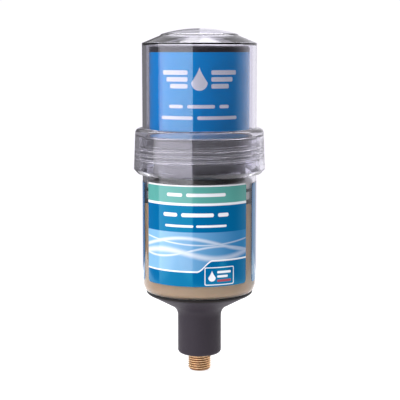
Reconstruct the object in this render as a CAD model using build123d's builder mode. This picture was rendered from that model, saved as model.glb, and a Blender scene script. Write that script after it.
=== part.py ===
from build123d import *
import os
from math import acos, asin, atan, atan2, ceil, cos, degrees, floor, pi, radians, sin, sqrt, tan

# Automatic lubricator, in millimetres. The axis is Z and the front faces -Y.
# The origin is the tip of the threaded stem.

os.makedirs("parts", exist_ok=True)

# ---- Fits, each measured on the radius ----
running_fit = 0.05
slide_fit = 0.2
air_gap = 0.3
seal_gap = 0.02

# ---- Shaping ----
fillet_share = 0.99
cut_over = 1.0
full_turn = 360.0

# ---- Threaded stem ----
stem_radius = 6.58
stem_length = 10.0
stem_chamfer = 1.0
stem_hex_flats = 14.0
stem_hex_length = 14.0
stem_groove_width = 3.0
stem_groove_depth = 1.0
outlet_radius = 3.0
outlet_depth = 9.5
passage_radius = 2.5

# ---- Support flange ----
neck_radius = 12.4
neck_edge_radius = 2.0
neck_length = 25.65
flare_rise = 9.25
flare_hollow_radius = 7.0
flare_rim_radius = 4.8
rim_inset = 1.7
rim_wall = 1.8
rim_height = 2.7
rim_land = 0.3
flare_wall = 2.0
socket_web = 4.0
hub_wall = 2.8
rib_count = 8
rib_thickness = 2.0

# ---- Canister ----
canister_radius = 32.6
canister_wall = 2.0
canister_height = 90.5
corner_radius = 8.4
inner_corner_radius = 5.0
floor_thickness = 2.8
spigot_radius = 6.0
spigot_end_gap = 0.3
o_ring_section = 0.9
spigot_groove_height = 6.0
label_thickness = 0.15

# ---- Canister neck and its screw thread ----
screw_lead = 3.0
screw_turns = 3.0
screw_root_width = 1.8
screw_crest_width = 0.8
screw_flank_gap = 0.15
neck_step = 0.4
screw_depth = 1.3
thread_top_margin = 2.2
thread_clearance = 0.6
thread_embed = 0.3

# ---- Labels ----
front_label_bottom = 10.3
front_label_top_margin = 11.5
front_label_start_angle = 207.0
front_label_end_angle = 325.0
back_label_bottom = 9.3
back_label_top_margin = 12.6
back_label_start_angle = -25.0
back_label_end_angle = 196.5
label_corner_radius = 2.0

# ---- Grease, spindle and piston ----
grease_gap = 0.1
foot_bush_radius = 7.5
foot_bush_height = 6.5
foot_slot_height = 3.0
foot_slot_width = 4.0
foot_slot_count = 3
foot_slot_angle = 30.0
foot_bush_chamfer = 0.5
foot_journal_radius = 4.0
spindle_core_radius = 4.6
spindle_thread_radius = 6.0
spindle_lead = 5.0
spindle_root_width = 2.2
spindle_crest_width = 1.6
spindle_top_gap = 0.8
spindle_embed = 0.2
nut_flank_gap = 0.2
drive_hex_flats = 5.0
drive_hex_depth = 7.0
drive_hex_gap = 0.05
piston_side_gap = 0.5
piston_height = 12.5
piston_top_gap = 2.0
piston_floor = 3.0
piston_rim_wall = 2.6
nut_wall = 3.2
piston_rib_count = 6
piston_rib_thickness = 1.6
piston_rib_height = 6.0
piston_rib_overlap = 1.0
seal_width = 2.0
lower_seal_height = 2.8
lower_lip = 0.4
upper_seal_height = 2.0
upper_seal_level = 6.9

# ---- Drive base and gear train ----
base_depth = 21.7
base_floor = 2.0
base_shelf_step = 0.5
base_wall = 2.0
base_shelf_thickness = 2.0
base_side_gap = 0.4
base_neck_wall = 2.38
base_flange_thickness = 0.9
base_lip_height = 2.0
base_lip_wall = 0.9
neck_seal_section = 1.1
neck_seal_depth = 5.7
gear_module = 0.5
pressure_angle = radians(20)
tooth_thinning = 0.07
tooth_root_depth = 1.25
output_teeth = 44
idler_pinion_teeth = 16
gear_room_gap = 0.5
motor_teeth = 16
output_gear_height = 4.0
wheel_gap = 0.6
wheel_height = 3.0
gear_floor_gap = 1.0
gear_top_gap = 1.9
output_journal_radius = 5.0
output_bush_wall = 1.95
output_bush_flange_width = 1.5
output_bush_flange_height = 0.7
idler_pin_radius = 1.5
idler_boss_radius = 3.0
idler_pin_seat = 1.0
gear_plate_thickness = 2.0
plate_screw_angles = (50, 170, 310)
plate_screw_inset = 2.3
plate_screw_radius = 1.2
plate_screw_head = 2.2
plate_screw_head_height = 1.0
plate_screw_length = 8.0
plate_screw_tip_gap = 1.0
plate_boss_radius = 2.8
plate_boss_floor = 1.0
motor_radius = 8.0
motor_length = 29.5
motor_side_gap = 1.5
motor_angle = 270.0
motor_shaft_radius = 1.0
motor_bearing_depth = 4.0
motor_can_edge = 0.6

# ---- Battery pack and board ----
cell_radius = 7.15
cell_length = 49.5
cell_edge = 0.6
cell_nub_radius = 2.6
cell_nub_height = 1.0
cell_angles = (30, 90, 150)
tray_floor = 2.0
tray_reach = 3.5
tray_height = 40.0
tray_cell_gap = 0.15
tray_front = -4.0
tray_inner_wall = 2.2
strip_thickness = 0.5
strip_width = 8.0
board_side_gap = 1.5
board_thickness = 1.6
board_gap = 2.9
board_screw_angles = (210, 270, 330)
board_screw_inset = 4.5
board_screw_radius = 1.0
board_screw_head = 2.0
board_screw_head_height = 1.2
board_boss_radius = 2.6
switch_size = 12.0
switch_corner = 1.0
led_angles = (245, 295)
led_place_radius = 15.0
led_radius = 1.5
led_chamfer = 0.5
lens_gap = 0.4

# ---- Drive housing and dial ----
housing_wall = 1.5
housing_lip_gap = 0.1
housing_edge = 1.5
drive_label_bottom = 0.6
drive_label_top_margin = 3.6
drive_label_seam_angle = 4.0
dial_radius = 9.0
dial_height = 2.4
dial_chamfer = 0.4
dial_stem_radius = 2.5
dial_stem_length = 1.8
dial_grip_length = 13.5
dial_grip_width = 2.4
dial_grip_height = 1.2
dial_slot_length = 9.0
dial_slot_width = 0.8
dial_slot_depth = 0.6
lens_radius = 1.6
lens_reach = 0.7

# ---- Cover ----
gasket_thickness = 0.6
gasket_width = 2.4
collar_wall = 1.7
collar_foot_wall = 2.7
collar_drop = 22.3
collar_chamfer = 2.9
collar_rise = 4.8
collar_shoulder_radius = 2.1
collar_edge = 0.6
cover_foot = 0.4
cover_wall = 2.2
cover_side_gap = 1.75
cover_head_gap = 1.5
dome_edge_run = 10.2
dome_edge_rise = 4.2
dome_edge = 0.4
lens_step_width = 0.9
lens_step = 0.9
lens_rise = 3.1

# ---- Radii, from the canister inwards and outwards ----
bore_radius = canister_radius - canister_wall
rim_radius = canister_radius - rim_inset
socket_radius = spigot_radius + slide_fit
plug_radius = rim_radius - rim_wall - slide_fit
neck_thread_root = canister_radius + neck_step
neck_thread_crest = neck_thread_root + screw_depth
cover_thread_root = neck_thread_crest + thread_clearance
cover_thread_crest = neck_thread_root + thread_clearance
base_neck_radius = bore_radius - base_side_gap
neck_groove = bore_radius - seal_gap - 2 * neck_seal_section
base_bore_radius = neck_groove - base_neck_wall
base_radius = base_bore_radius + base_shelf_step
lip_radius = base_bore_radius + base_lip_wall
housing_radius = lip_radius + housing_lip_gap + housing_wall
cover_bore = housing_radius + label_thickness + cover_side_gap
cover_radius = cover_bore + cover_wall
collar_top_radius = cover_thread_root + collar_wall
collar_bottom_radius = cover_thread_root + collar_foot_wall
dome_edge_radius = cover_radius - dome_edge_run
lens_edge_radius = dome_edge_radius - lens_step_width
piston_radius = bore_radius - piston_side_gap
seal_radius = bore_radius - running_fit
nut_thread_radius = spindle_thread_radius + air_gap
piston_hub_radius = nut_thread_radius + nut_wall
output_bush_radius = output_journal_radius + running_fit + output_bush_wall
cell_circle = base_bore_radius - slide_fit - tray_cell_gap - cell_radius
tray_radius = cell_circle + tray_reach
tray_core_radius = cell_circle - cell_radius - tray_cell_gap - tray_inner_wall
board_radius = housing_radius - housing_wall - board_side_gap
board_screw_circle = board_radius - board_screw_inset

# ---- Gear train: the idler's wheel has as many teeth as the gear room has space for ----
gear_room_radius = base_radius - base_wall
plate_screw_circle = gear_room_radius - plate_screw_inset
idler_offset = gear_module * (output_teeth + idler_pinion_teeth) / 2
idler_wheel_teeth = floor(2 * (gear_room_radius - gear_room_gap - idler_offset) / gear_module) - 2
motor_offset = base_bore_radius - motor_side_gap - motor_radius
motor_centres = gear_module * (idler_wheel_teeth + motor_teeth) / 2

# ---- Levels along the axis, from the stem's tip upwards ----
flange_bottom = stem_length
stem_top = flange_bottom + stem_hex_length
socket_bottom = stem_top + socket_web
flare_z = flange_bottom + neck_length
seat_z = flare_z + flare_rise + rim_land
rim_top = seat_z + rim_height
floor_z = seat_z + floor_thickness
canister_top = seat_z + canister_height
thread_bottom = canister_top - thread_top_margin - screw_root_width / 2 - screw_lead * screw_turns
neck_z = thread_bottom
base_z = canister_top - base_depth
piston_z = base_z - piston_top_gap - piston_height
gear_floor_z = base_z + base_floor
output_gear_z = gear_floor_z + gear_floor_gap
idler_wheel_z = output_gear_z + output_gear_height + wheel_gap
plate_z = idler_wheel_z + wheel_height + gear_top_gap
plate_top = plate_z + gear_plate_thickness
cell_z = plate_top + tray_floor + strip_thickness
strip_top_z = cell_z + cell_length + cell_nub_height
board_z = strip_top_z + strip_thickness
board_top = board_z + board_thickness
ceiling_z = board_top + board_gap
housing_top = ceiling_z + housing_wall
base_rim_z = canister_top + base_flange_thickness
cover_seat_z = base_rim_z + gasket_thickness
dome_z = housing_top + cover_head_gap
housing_height = housing_top - base_rim_z
switch_height = board_gap - air_gap
lens_length = housing_wall + lens_reach
led_height = board_gap - lens_reach - lens_gap


def polar(radius, angle):
    """Point at a radius and an angle in degrees."""
    return (radius * cos(radians(angle)), radius * sin(radians(angle)))


def gear_face(teeth, first_tooth, centre):
    """Face of an involute spur gear with one tooth centred on an angle in degrees."""
    pitch = gear_module * teeth / 2
    base = pitch * cos(pressure_angle)
    root = pitch - tooth_root_depth * gear_module
    tip = pitch + gear_module

    def half_tooth(radius):
        roll = acos(min(1.0, base / radius))
        pitch_half = pi / (2 * teeth) - tooth_thinning / (2 * pitch)
        return degrees(pitch_half + tan(pressure_angle) - pressure_angle - tan(roll) + roll)

    flank_start = max(base, root)
    flank = [polar(r, half_tooth(r)) for r in (flank_start, (flank_start + tip) / 2, tip)]
    mirrored = [(x, -y) for x, y in flank]
    foot = (root - gear_module / 2, flank[0][1])
    with BuildSketch() as tooth:
        with BuildLine():
            ThreePointArc(*flank)
            Line(flank[-1], mirrored[-1])
            ThreePointArc(*mirrored)
            Polyline(mirrored[0], (foot[0], -foot[1]), foot, flank[0])
        make_face()
    with BuildSketch() as gear:
        Circle(root)
        with PolarLocations(0, teeth, start_angle=first_tooth):
            add(tooth.sketch)
    return Pos(*centre) * gear.sketch


def thread_ridge(lead, turns, bottom, root, crest, root_width, crest_width):
    """Helical ridge of a right-hand screw thread, from its root to its crest radius."""
    depth = abs(crest - root)
    outward = (crest - root) / depth
    with BuildPart() as ridge:
        with BuildLine() as path:
            Helix(lead, lead * turns, root, center=(0, 0, bottom))
        start = Plane(origin=path.line @ 0, x_dir=(outward, 0, 0), z_dir=path.line % 0)
        with BuildSketch(start):
            with BuildLine():
                Polyline(
                    (0, -root_width / 2),
                    (depth, -crest_width / 2),
                    (depth, crest_width / 2),
                    (0, root_width / 2),
                    close=True,
                )
            make_face()
        sweep(path=path.line, is_frenet=True)
    return ridge.part


def turned(*points):
    """Closed face in the XZ plane from (radius, height) points, for turning round Z."""
    with BuildSketch(Plane.XZ) as face:
        with BuildLine():
            Polyline(*points, close=True)
        make_face()
    return face.sketch


# ---- Threaded stem: plain cylinder at thread size, hexagon moulded into the flange ----
with BuildPart() as stem_body:
    with BuildSketch():
        Circle(stem_radius)
    extrude(amount=stem_length)
    chamfer(stem_body.edges().group_by(Axis.Z)[0], stem_chamfer)
    with BuildSketch(Plane.XY.offset(stem_length)):
        RegularPolygon(stem_hex_flats / 2, 6, major_radius=False)
    extrude(amount=stem_hex_length)
    groove_z = stem_top - stem_hex_length / 2
    with BuildSketch(Plane.XY.offset(groove_z - stem_groove_width / 2)):
        Circle(stem_hex_flats)
        Circle(stem_hex_flats / 2 - stem_groove_depth, mode=Mode.SUBTRACT)
    extrude(amount=stem_groove_width, mode=Mode.SUBTRACT)

with BuildPart() as threaded_stem:
    add(stem_body.part)
    with BuildSketch():
        Circle(passage_radius)
    extrude(amount=stem_top, mode=Mode.SUBTRACT)
    with BuildSketch():
        Circle(outlet_radius)
    extrude(amount=outlet_depth, mode=Mode.SUBTRACT)
threaded_stem.part.label = "threaded_stem"
export_step(threaded_stem.part, "parts/threaded_stem.step")

# ---- Support flange: neck, flared cup, ribs under the seat, socket for the spigot ----
flare_slope = flare_rise / (rim_radius - neck_radius)
flare_offset = flare_wall * sqrt(1 + flare_slope**2)
rim_turn = pi / 2 - atan(flare_slope)
flare_rim_fillet = min(
    flare_rim_radius, fillet_share * (rim_height + rim_land) / tan(rim_turn / 2)
)
hub_radius = socket_radius + hub_wall
pocket_bottom = flare_z + (hub_radius - neck_radius) * flare_slope + flare_offset
pocket_radius = neck_radius + (seat_z - flare_z - flare_offset) / flare_slope

with BuildPart() as rib_pockets:
    add(turned((hub_radius, seat_z), (hub_radius, pocket_bottom), (pocket_radius, seat_z)))
    revolve(axis=Axis.Z)
    with BuildSketch(Plane.XY.offset(pocket_bottom)):
        with PolarLocations(0, rib_count):
            Rectangle(pocket_radius + cut_over, rib_thickness, align=(Align.MIN, Align.CENTER))
    extrude(amount=seat_z - pocket_bottom, mode=Mode.SUBTRACT)

with BuildPart() as support_flange:
    with BuildSketch(Plane.XZ):
        with BuildLine():
            FilletPolyline(
                (0, flange_bottom),
                (neck_radius, flange_bottom),
                (neck_radius, flare_z),
                (rim_radius, flare_z + flare_rise),
                (rim_radius, rim_top),
                radius=(neck_edge_radius, flare_hollow_radius, flare_rim_fillet),
            )
            Polyline(
                (rim_radius, rim_top),
                (rim_radius - rim_wall, rim_top),
                (rim_radius - rim_wall, seat_z),
                (0, seat_z),
                (0, flange_bottom),
            )
        make_face()
    revolve(axis=Axis.Z)
    add(rib_pockets.part, mode=Mode.SUBTRACT)
    add(stem_body.part, mode=Mode.SUBTRACT)
    with BuildSketch(Plane.XY.offset(stem_top)):
        Circle(passage_radius)
    extrude(amount=socket_web, mode=Mode.SUBTRACT)
    with BuildSketch(Plane.XY.offset(socket_bottom)):
        Circle(socket_radius)
    extrude(amount=seat_z - socket_bottom, mode=Mode.SUBTRACT)
support_flange.part.label = "support_flange"
export_step(support_flange.part, "parts/support_flange.step")

# ---- Canister: spigot, rounded bottom, wall and threaded neck in one piece ----
spigot_bottom = socket_bottom + spigot_end_gap
corner_centre = canister_radius - corner_radius
corner_z = rim_top + sqrt(corner_radius**2 - (rim_radius - corner_centre) ** 2)
corner_sweep = degrees(asin((corner_z - rim_top) / corner_radius))
inner_centre = bore_radius - inner_corner_radius
inner_corner_z = floor_z + inner_corner_radius
groove_radius = socket_radius - seal_gap - 2 * o_ring_section
spigot_groove_z = spigot_bottom + spigot_groove_height

with BuildPart() as canister:
    with BuildSketch(Plane.XZ):
        with BuildLine():
            Polyline(
                (outlet_radius, floor_z),
                (outlet_radius, spigot_bottom),
                (spigot_radius, spigot_bottom),
                (spigot_radius, spigot_groove_z),
                (groove_radius, spigot_groove_z),
                (groove_radius, spigot_groove_z + 2 * o_ring_section),
                (spigot_radius, spigot_groove_z + 2 * o_ring_section),
                (spigot_radius, seat_z),
                (plug_radius, seat_z),
                (plug_radius, rim_top),
                (rim_radius, rim_top),
            )
            CenterArc((corner_centre, corner_z), corner_radius, -corner_sweep, corner_sweep)
            Polyline(
                (canister_radius, corner_z),
                (canister_radius, neck_z - neck_step),
                (neck_thread_root, neck_z),
                (neck_thread_root, canister_top),
                (bore_radius, canister_top),
                (bore_radius, inner_corner_z),
            )
            CenterArc((inner_centre, inner_corner_z), inner_corner_radius, -90, 90)
            Line((inner_centre, floor_z), (outlet_radius, floor_z))
        make_face()
    revolve(axis=Axis.Z)
    add(
        thread_ridge(
            screw_lead,
            screw_turns,
            thread_bottom,
            neck_thread_root - thread_embed,
            neck_thread_crest,
            screw_root_width,
            screw_crest_width,
        )
    )
canister.part.label = "canister"
export_step(canister.part, "parts/canister.step")

# ---- O-ring of the spigot ----
with BuildPart() as spigot_o_ring:
    with BuildSketch(Plane.XZ):
        with Locations((groove_radius + o_ring_section, spigot_groove_z + o_ring_section)):
            Circle(o_ring_section)
    revolve(axis=Axis.Z)
spigot_o_ring.part.label = "spigot_o_ring"
export_step(spigot_o_ring.part, "parts/spigot_o_ring.step")


# ---- Labels: thin sheets on the canister wall with rounded corners ----
def label_sheet(radius, bottom, top, start, end):
    """Curved label between two heights and two angles, on a wall of a radius."""
    with BuildPart() as sheet:
        with BuildSketch(Plane.XZ.rotated((0, 0, start))):
            with Locations((radius, bottom)):
                Rectangle(label_thickness, top - bottom, align=(Align.MIN, Align.MIN))
        revolve(axis=Axis.Z, revolution_arc=end - start)
        corners = sheet.edges().filter_by(GeomType.LINE).group_by(SortBy.LENGTH)[0]
        fillet(corners, label_corner_radius)
    return sheet.part


with BuildPart() as front_label:
    add(
        label_sheet(
            canister_radius,
            seat_z + front_label_bottom,
            neck_z - front_label_top_margin,
            front_label_start_angle,
            front_label_end_angle,
        )
    )
front_label.part.label = "front_label"
export_step(front_label.part, "parts/front_label.step")

with BuildPart() as back_label:
    add(
        label_sheet(
            canister_radius,
            seat_z + back_label_bottom,
            neck_z - back_label_top_margin,
            back_label_start_angle,
            back_label_end_angle,
        )
    )
back_label.part.label = "back_label"
export_step(back_label.part, "parts/back_label.step")

# ---- Foot bush: stands over the outlet, with slots that let the grease in ----
foot_z = floor_z + foot_slot_height + slide_fit
foot_bush_top = floor_z + foot_bush_height

with BuildPart() as spindle_foot_bush:
    with BuildSketch(Plane.XY.offset(floor_z)):
        Circle(foot_bush_radius)
        Circle(foot_journal_radius + running_fit, mode=Mode.SUBTRACT)
    extrude(amount=foot_bush_height)
    with BuildSketch(Plane.XY.offset(floor_z)):
        with PolarLocations(0, foot_slot_count, start_angle=foot_slot_angle):
            Rectangle(foot_bush_radius + cut_over, foot_slot_width, align=(Align.MIN, Align.CENTER))
    extrude(amount=foot_slot_height, mode=Mode.SUBTRACT)
    foot_bush_rims = spindle_foot_bush.edges().filter_by(GeomType.CIRCLE).sort_by(Axis.Z)
    chamfer(foot_bush_rims[-1], foot_bush_chamfer)
spindle_foot_bush.part.label = "spindle_foot_bush"
export_step(spindle_foot_bush.part, "parts/spindle_foot_bush.step")

# ---- Spindle: foot journal, lead screw and a hexagon socket at its top ----
spindle_top = base_z - spindle_top_gap
screw_z = foot_bush_top + air_gap + spindle_root_width / 2
spindle_turns = (spindle_top - screw_z - spindle_root_width / 2) / spindle_lead

with BuildPart() as spindle:
    add(
        turned(
            (0, foot_z),
            (foot_journal_radius, foot_z),
            (foot_journal_radius, foot_bush_top + air_gap),
            (spindle_core_radius, foot_bush_top + air_gap),
            (spindle_core_radius, spindle_top),
            (0, spindle_top),
        )
    )
    revolve(axis=Axis.Z)
    add(
        thread_ridge(
            spindle_lead,
            spindle_turns,
            screw_z,
            spindle_core_radius - spindle_embed,
            spindle_thread_radius,
            spindle_root_width,
            spindle_crest_width,
        )
    )
    with BuildSketch(Plane.XY.offset(spindle_top)):
        RegularPolygon(drive_hex_flats / 2 + drive_hex_gap, 6, major_radius=False)
    extrude(amount=-drive_hex_depth, mode=Mode.SUBTRACT)
spindle.part.label = "spindle"
export_step(spindle.part, "parts/spindle.step")

# ---- Grease: fills the canister under the piston, clear of the spindle and its bush ----
grease_radius = bore_radius - grease_gap
grease_corner = inner_corner_radius + grease_gap
grease_bottom = floor_z + grease_gap
grease_top = piston_z - grease_gap
grease_hole = foot_bush_radius + air_gap

with BuildPart() as grease_fill:
    with BuildSketch(Plane.XZ):
        with BuildLine():
            Polyline(
                (grease_radius - grease_corner, grease_bottom),
                (grease_hole, grease_bottom),
                (grease_hole, grease_top),
                (grease_radius, grease_top),
                (grease_radius, grease_bottom + grease_corner),
            )
            RadiusArc(
                (grease_radius, grease_bottom + grease_corner),
                (grease_radius - grease_corner, grease_bottom),
                grease_corner,
            )
        make_face()
    revolve(axis=Axis.Z)
grease_fill.part.label = "grease_fill"
export_step(grease_fill.part, "parts/grease_fill.step")

# ---- Piston: ribbed cup with a nut cut to the spindle's thread ----
seal_groove = piston_radius - seal_width
piston_top = piston_z + piston_height
upper_seal_z = piston_z + upper_seal_level
nut_turns_down = floor((piston_z - screw_z) / spindle_lead) - 1
nut_z = screw_z + nut_turns_down * spindle_lead
nut_turns = ceil(piston_height / spindle_lead) + 2
nut_bore = spindle_core_radius + air_gap

with BuildPart() as piston:
    add(
        turned(
            (0, piston_z + lower_lip),
            (seal_groove, piston_z + lower_lip),
            (seal_groove, piston_z + lower_seal_height),
            (piston_radius, piston_z + lower_seal_height),
            (piston_radius, upper_seal_z),
            (seal_groove, upper_seal_z),
            (seal_groove, upper_seal_z + upper_seal_height),
            (piston_radius, upper_seal_z + upper_seal_height),
            (piston_radius, piston_top),
            (seal_groove - piston_rim_wall, piston_top),
            (seal_groove - piston_rim_wall, piston_z + lower_lip + piston_floor),
            (piston_hub_radius, piston_z + lower_lip + piston_floor),
            (piston_hub_radius, piston_top),
            (0, piston_top),
        )
    )
    revolve(axis=Axis.Z)
    with BuildSketch(Plane.XY.offset(piston_z + lower_lip + piston_floor)):
        with PolarLocations(piston_hub_radius - piston_rib_overlap, piston_rib_count):
            Rectangle(
                seal_groove - piston_rim_wall - piston_hub_radius + 2 * piston_rib_overlap,
                piston_rib_thickness,
                align=(Align.MIN, Align.CENTER),
            )
    extrude(amount=piston_rib_height)
    add(
        thread_ridge(
            spindle_lead,
            nut_turns,
            nut_z,
            spindle_core_radius,
            nut_thread_radius,
            spindle_root_width + 2 * nut_flank_gap,
            spindle_crest_width + 2 * nut_flank_gap,
        ),
        mode=Mode.SUBTRACT,
    )
    with BuildSketch(Plane.XY.offset(piston_z)):
        Circle(nut_bore)
    extrude(amount=piston_height, mode=Mode.SUBTRACT)
piston.part.label = "piston"
export_step(piston.part, "parts/piston.step")

# ---- Piston seals: lip ring under the piston, plain ring above it ----
with BuildPart() as piston_seal_lower:
    add(
        turned(
            (seal_groove - seal_width, piston_z),
            (seal_radius, piston_z),
            (seal_radius, piston_z + lower_seal_height),
            (seal_groove, piston_z + lower_seal_height),
            (seal_groove, piston_z + lower_lip),
            (seal_groove - seal_width, piston_z + lower_lip),
        )
    )
    revolve(axis=Axis.Z)
piston_seal_lower.part.label = "piston_seal_lower"
export_step(piston_seal_lower.part, "parts/piston_seal_lower.step")

with BuildPart() as piston_seal_upper:
    with BuildSketch(Plane.XY.offset(upper_seal_z)):
        Circle(seal_radius)
        Circle(seal_groove, mode=Mode.SUBTRACT)
    extrude(amount=upper_seal_height)
piston_seal_upper.part.label = "piston_seal_upper"
export_step(piston_seal_upper.part, "parts/piston_seal_upper.step")

# ---- Places of the gears: the idler meshes with the output gear and the motor pinion ----
idler_swing = acos(
    (idler_offset**2 + motor_offset**2 - motor_centres**2) / (2 * idler_offset * motor_offset)
)
idler_angle = motor_angle - degrees(idler_swing)
idler_centre = polar(idler_offset, idler_angle)
motor_centre = polar(motor_offset, motor_angle)
motor_direction = degrees(
    atan2(motor_centre[1] - idler_centre[1], motor_centre[0] - idler_centre[0])
)

# ---- Drive base: gear room, shelf, neck with its seal groove, flange and lip ----
shelf_z = plate_z - base_shelf_thickness
seal_z = canister_top - neck_seal_depth
lip_z = base_rim_z + base_lip_height
idler_boss_height = gear_floor_gap - air_gap
screw_places = [polar(plate_screw_circle, angle) for angle in plate_screw_angles]

with BuildPart() as drive_base:
    add(
        turned(
            (0, base_z),
            (base_radius, base_z),
            (base_radius, shelf_z),
            (base_neck_radius, shelf_z),
            (base_neck_radius, seal_z),
            (neck_groove, seal_z),
            (neck_groove, seal_z + 2 * neck_seal_section),
            (base_neck_radius, seal_z + 2 * neck_seal_section),
            (base_neck_radius, canister_top),
            (neck_thread_root, canister_top),
            (neck_thread_root, base_rim_z),
            (lip_radius, base_rim_z),
            (lip_radius, lip_z),
            (base_bore_radius, lip_z),
            (base_bore_radius, plate_z),
            (gear_room_radius, plate_z),
            (gear_room_radius, gear_floor_z),
            (0, gear_floor_z),
        )
    )
    revolve(axis=Axis.Z)
    with BuildSketch(Plane.XY.offset(gear_floor_z)):
        with Locations(idler_centre):
            Circle(idler_boss_radius)
    extrude(amount=idler_boss_height)
    with BuildSketch(Plane.XY.offset(plate_z)):
        with Locations(screw_places):
            Circle(plate_boss_radius)
    extrude(amount=-plate_screw_length - plate_boss_floor)
    with Locations([(*place, plate_z) for place in screw_places]):
        Hole(plate_screw_radius + seal_gap, depth=plate_screw_length)
    with Locations((0, 0, gear_floor_z)):
        Hole(output_bush_radius, depth=base_floor)
    with Locations((*idler_centre, gear_floor_z + idler_boss_height)):
        Hole(idler_pin_radius, depth=idler_boss_height + idler_pin_seat)
drive_base.part.label = "drive_base"
export_step(drive_base.part, "parts/drive_base.step")

# ---- O-ring of the drive base ----
with BuildPart() as neck_o_ring:
    with BuildSketch(Plane.XZ):
        with Locations((neck_groove + neck_seal_section, seal_z + neck_seal_section)):
            Circle(neck_seal_section)
    revolve(axis=Axis.Z)
neck_o_ring.part.label = "neck_o_ring"
export_step(neck_o_ring.part, "parts/neck_o_ring.step")

# ---- Output bush: flanged plain bearing ----
with BuildPart() as output_bush:
    with BuildSketch(Plane.XY.offset(base_z)):
        Circle(output_bush_radius)
        Circle(output_journal_radius + running_fit, mode=Mode.SUBTRACT)
    extrude(amount=base_floor)
    with BuildSketch(Plane.XY.offset(gear_floor_z)):
        Circle(output_bush_radius + output_bush_flange_width)
        Circle(output_journal_radius + running_fit, mode=Mode.SUBTRACT)
    extrude(amount=output_bush_flange_height)
output_bush.part.label = "output_bush"
export_step(output_bush.part, "parts/output_bush.step")

# ---- Output gear: gear, journal and the hexagon that enters the spindle ----
output_face = gear_face(output_teeth, idler_angle, (0, 0))

with BuildPart() as output_gear:
    with BuildSketch(Plane.XY.offset(output_gear_z)):
        add(output_face)
    extrude(amount=output_gear_height)
    with BuildSketch(Plane.XY.offset(spindle_top + slide_fit)):
        Circle(output_journal_radius)
    extrude(amount=output_gear_z - spindle_top - slide_fit)
    with BuildSketch(Plane.XY.offset(spindle_top + slide_fit)):
        RegularPolygon(drive_hex_flats / 2, 6, major_radius=False)
    extrude(amount=-drive_hex_depth)
output_gear.part.label = "output_gear"
export_step(output_gear.part, "parts/output_gear.step")

# ---- Idler: small pinion under a large wheel, on a fixed pin ----
idler_pinion_first = idler_angle + (1 + 1 / idler_pinion_teeth) * full_turn / 2
idler_pinion_face = gear_face(idler_pinion_teeth, idler_pinion_first, idler_centre)
idler_wheel_face = gear_face(idler_wheel_teeth, motor_direction, idler_centre)
idler_pinion_top = idler_wheel_z
idler_wheel_top = idler_wheel_z + wheel_height

with BuildPart() as idler_gear:
    with BuildSketch(Plane.XY.offset(output_gear_z)):
        add(idler_pinion_face)
    extrude(amount=idler_pinion_top - output_gear_z)
    with BuildSketch(Plane.XY.offset(idler_wheel_z)):
        add(idler_wheel_face)
    extrude(amount=wheel_height)
    with BuildSketch(Plane.XY.offset(output_gear_z)):
        with Locations(idler_centre):
            Circle(idler_pin_radius + running_fit)
    extrude(amount=idler_wheel_top - output_gear_z, mode=Mode.SUBTRACT)
idler_gear.part.label = "idler_gear"
export_step(idler_gear.part, "parts/idler_gear.step")

with BuildPart() as idler_pin:
    with BuildSketch(Plane.XY.offset(gear_floor_z - idler_pin_seat)):
        with Locations(idler_centre):
            Circle(idler_pin_radius)
    extrude(amount=plate_top - gear_floor_z + idler_pin_seat)
idler_pin.part.label = "idler_pin"
export_step(idler_pin.part, "parts/idler_pin.step")

# ---- Motor, its shaft and its pinion ----
motor_first = motor_direction + (1 + 1 / motor_teeth) * full_turn / 2
motor_face = gear_face(motor_teeth, motor_first, motor_centre)

with BuildPart() as motor_pinion:
    with BuildSketch(Plane.XY.offset(idler_wheel_z)):
        add(motor_face)
        with Locations(motor_centre):
            Circle(motor_shaft_radius, mode=Mode.SUBTRACT)
    extrude(amount=wheel_height)
motor_pinion.part.label = "motor_pinion"
export_step(motor_pinion.part, "parts/motor_pinion.step")

with BuildPart() as motor_shaft:
    with BuildSketch(Plane.XY.offset(idler_wheel_z)):
        with Locations(motor_centre):
            Circle(motor_shaft_radius)
    extrude(amount=plate_top + motor_bearing_depth - air_gap - idler_wheel_z)
motor_shaft.part.label = "motor_shaft"
export_step(motor_shaft.part, "parts/motor_shaft.step")

with BuildPart() as motor:
    with BuildSketch(Plane.XY.offset(plate_top)):
        with Locations(motor_centre):
            Circle(motor_radius)
    extrude(amount=motor_length)
    chamfer(motor.edges().filter_by(GeomType.CIRCLE), motor_can_edge)
    with Locations((*motor_centre, plate_top + motor_bearing_depth)):
        Hole(motor_shaft_radius + running_fit, depth=motor_bearing_depth)
motor.part.label = "motor"
export_step(motor.part, "parts/motor.step")

# ---- Gear plate and its countersunk screws ----
with BuildPart() as gear_plate:
    with BuildSketch(Plane.XY.offset(plate_z)):
        Circle(base_bore_radius - slide_fit)
        with Locations(motor_centre):
            Circle(motor_shaft_radius + air_gap, mode=Mode.SUBTRACT)
        with Locations(idler_centre):
            Circle(idler_pin_radius, mode=Mode.SUBTRACT)
    extrude(amount=gear_plate_thickness)
    with Locations([(*place, plate_top) for place in screw_places]):
        CounterSinkHole(plate_screw_radius, plate_screw_head, depth=gear_plate_thickness)
gear_plate.part.label = "gear_plate"
export_step(gear_plate.part, "parts/gear_plate.step")

with BuildPart() as gear_plate_screws:
    with BuildSketch(Plane.XY.offset(plate_top - plate_screw_head_height)):
        with Locations(screw_places):
            Circle(plate_screw_radius)
    extrude(
        amount=plate_screw_head_height
        - gear_plate_thickness
        - plate_screw_length
        + plate_screw_tip_gap
    )
    with Locations([(*place, plate_top) for place in screw_places]):
        Cone(
            plate_screw_radius,
            plate_screw_head,
            plate_screw_head_height,
            align=(Align.CENTER, Align.CENTER, Align.MAX),
        )
gear_plate_screws.part.label = "gear_plate_screws"
export_step(gear_plate_screws.part, "parts/gear_plate_screws.step")

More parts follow.
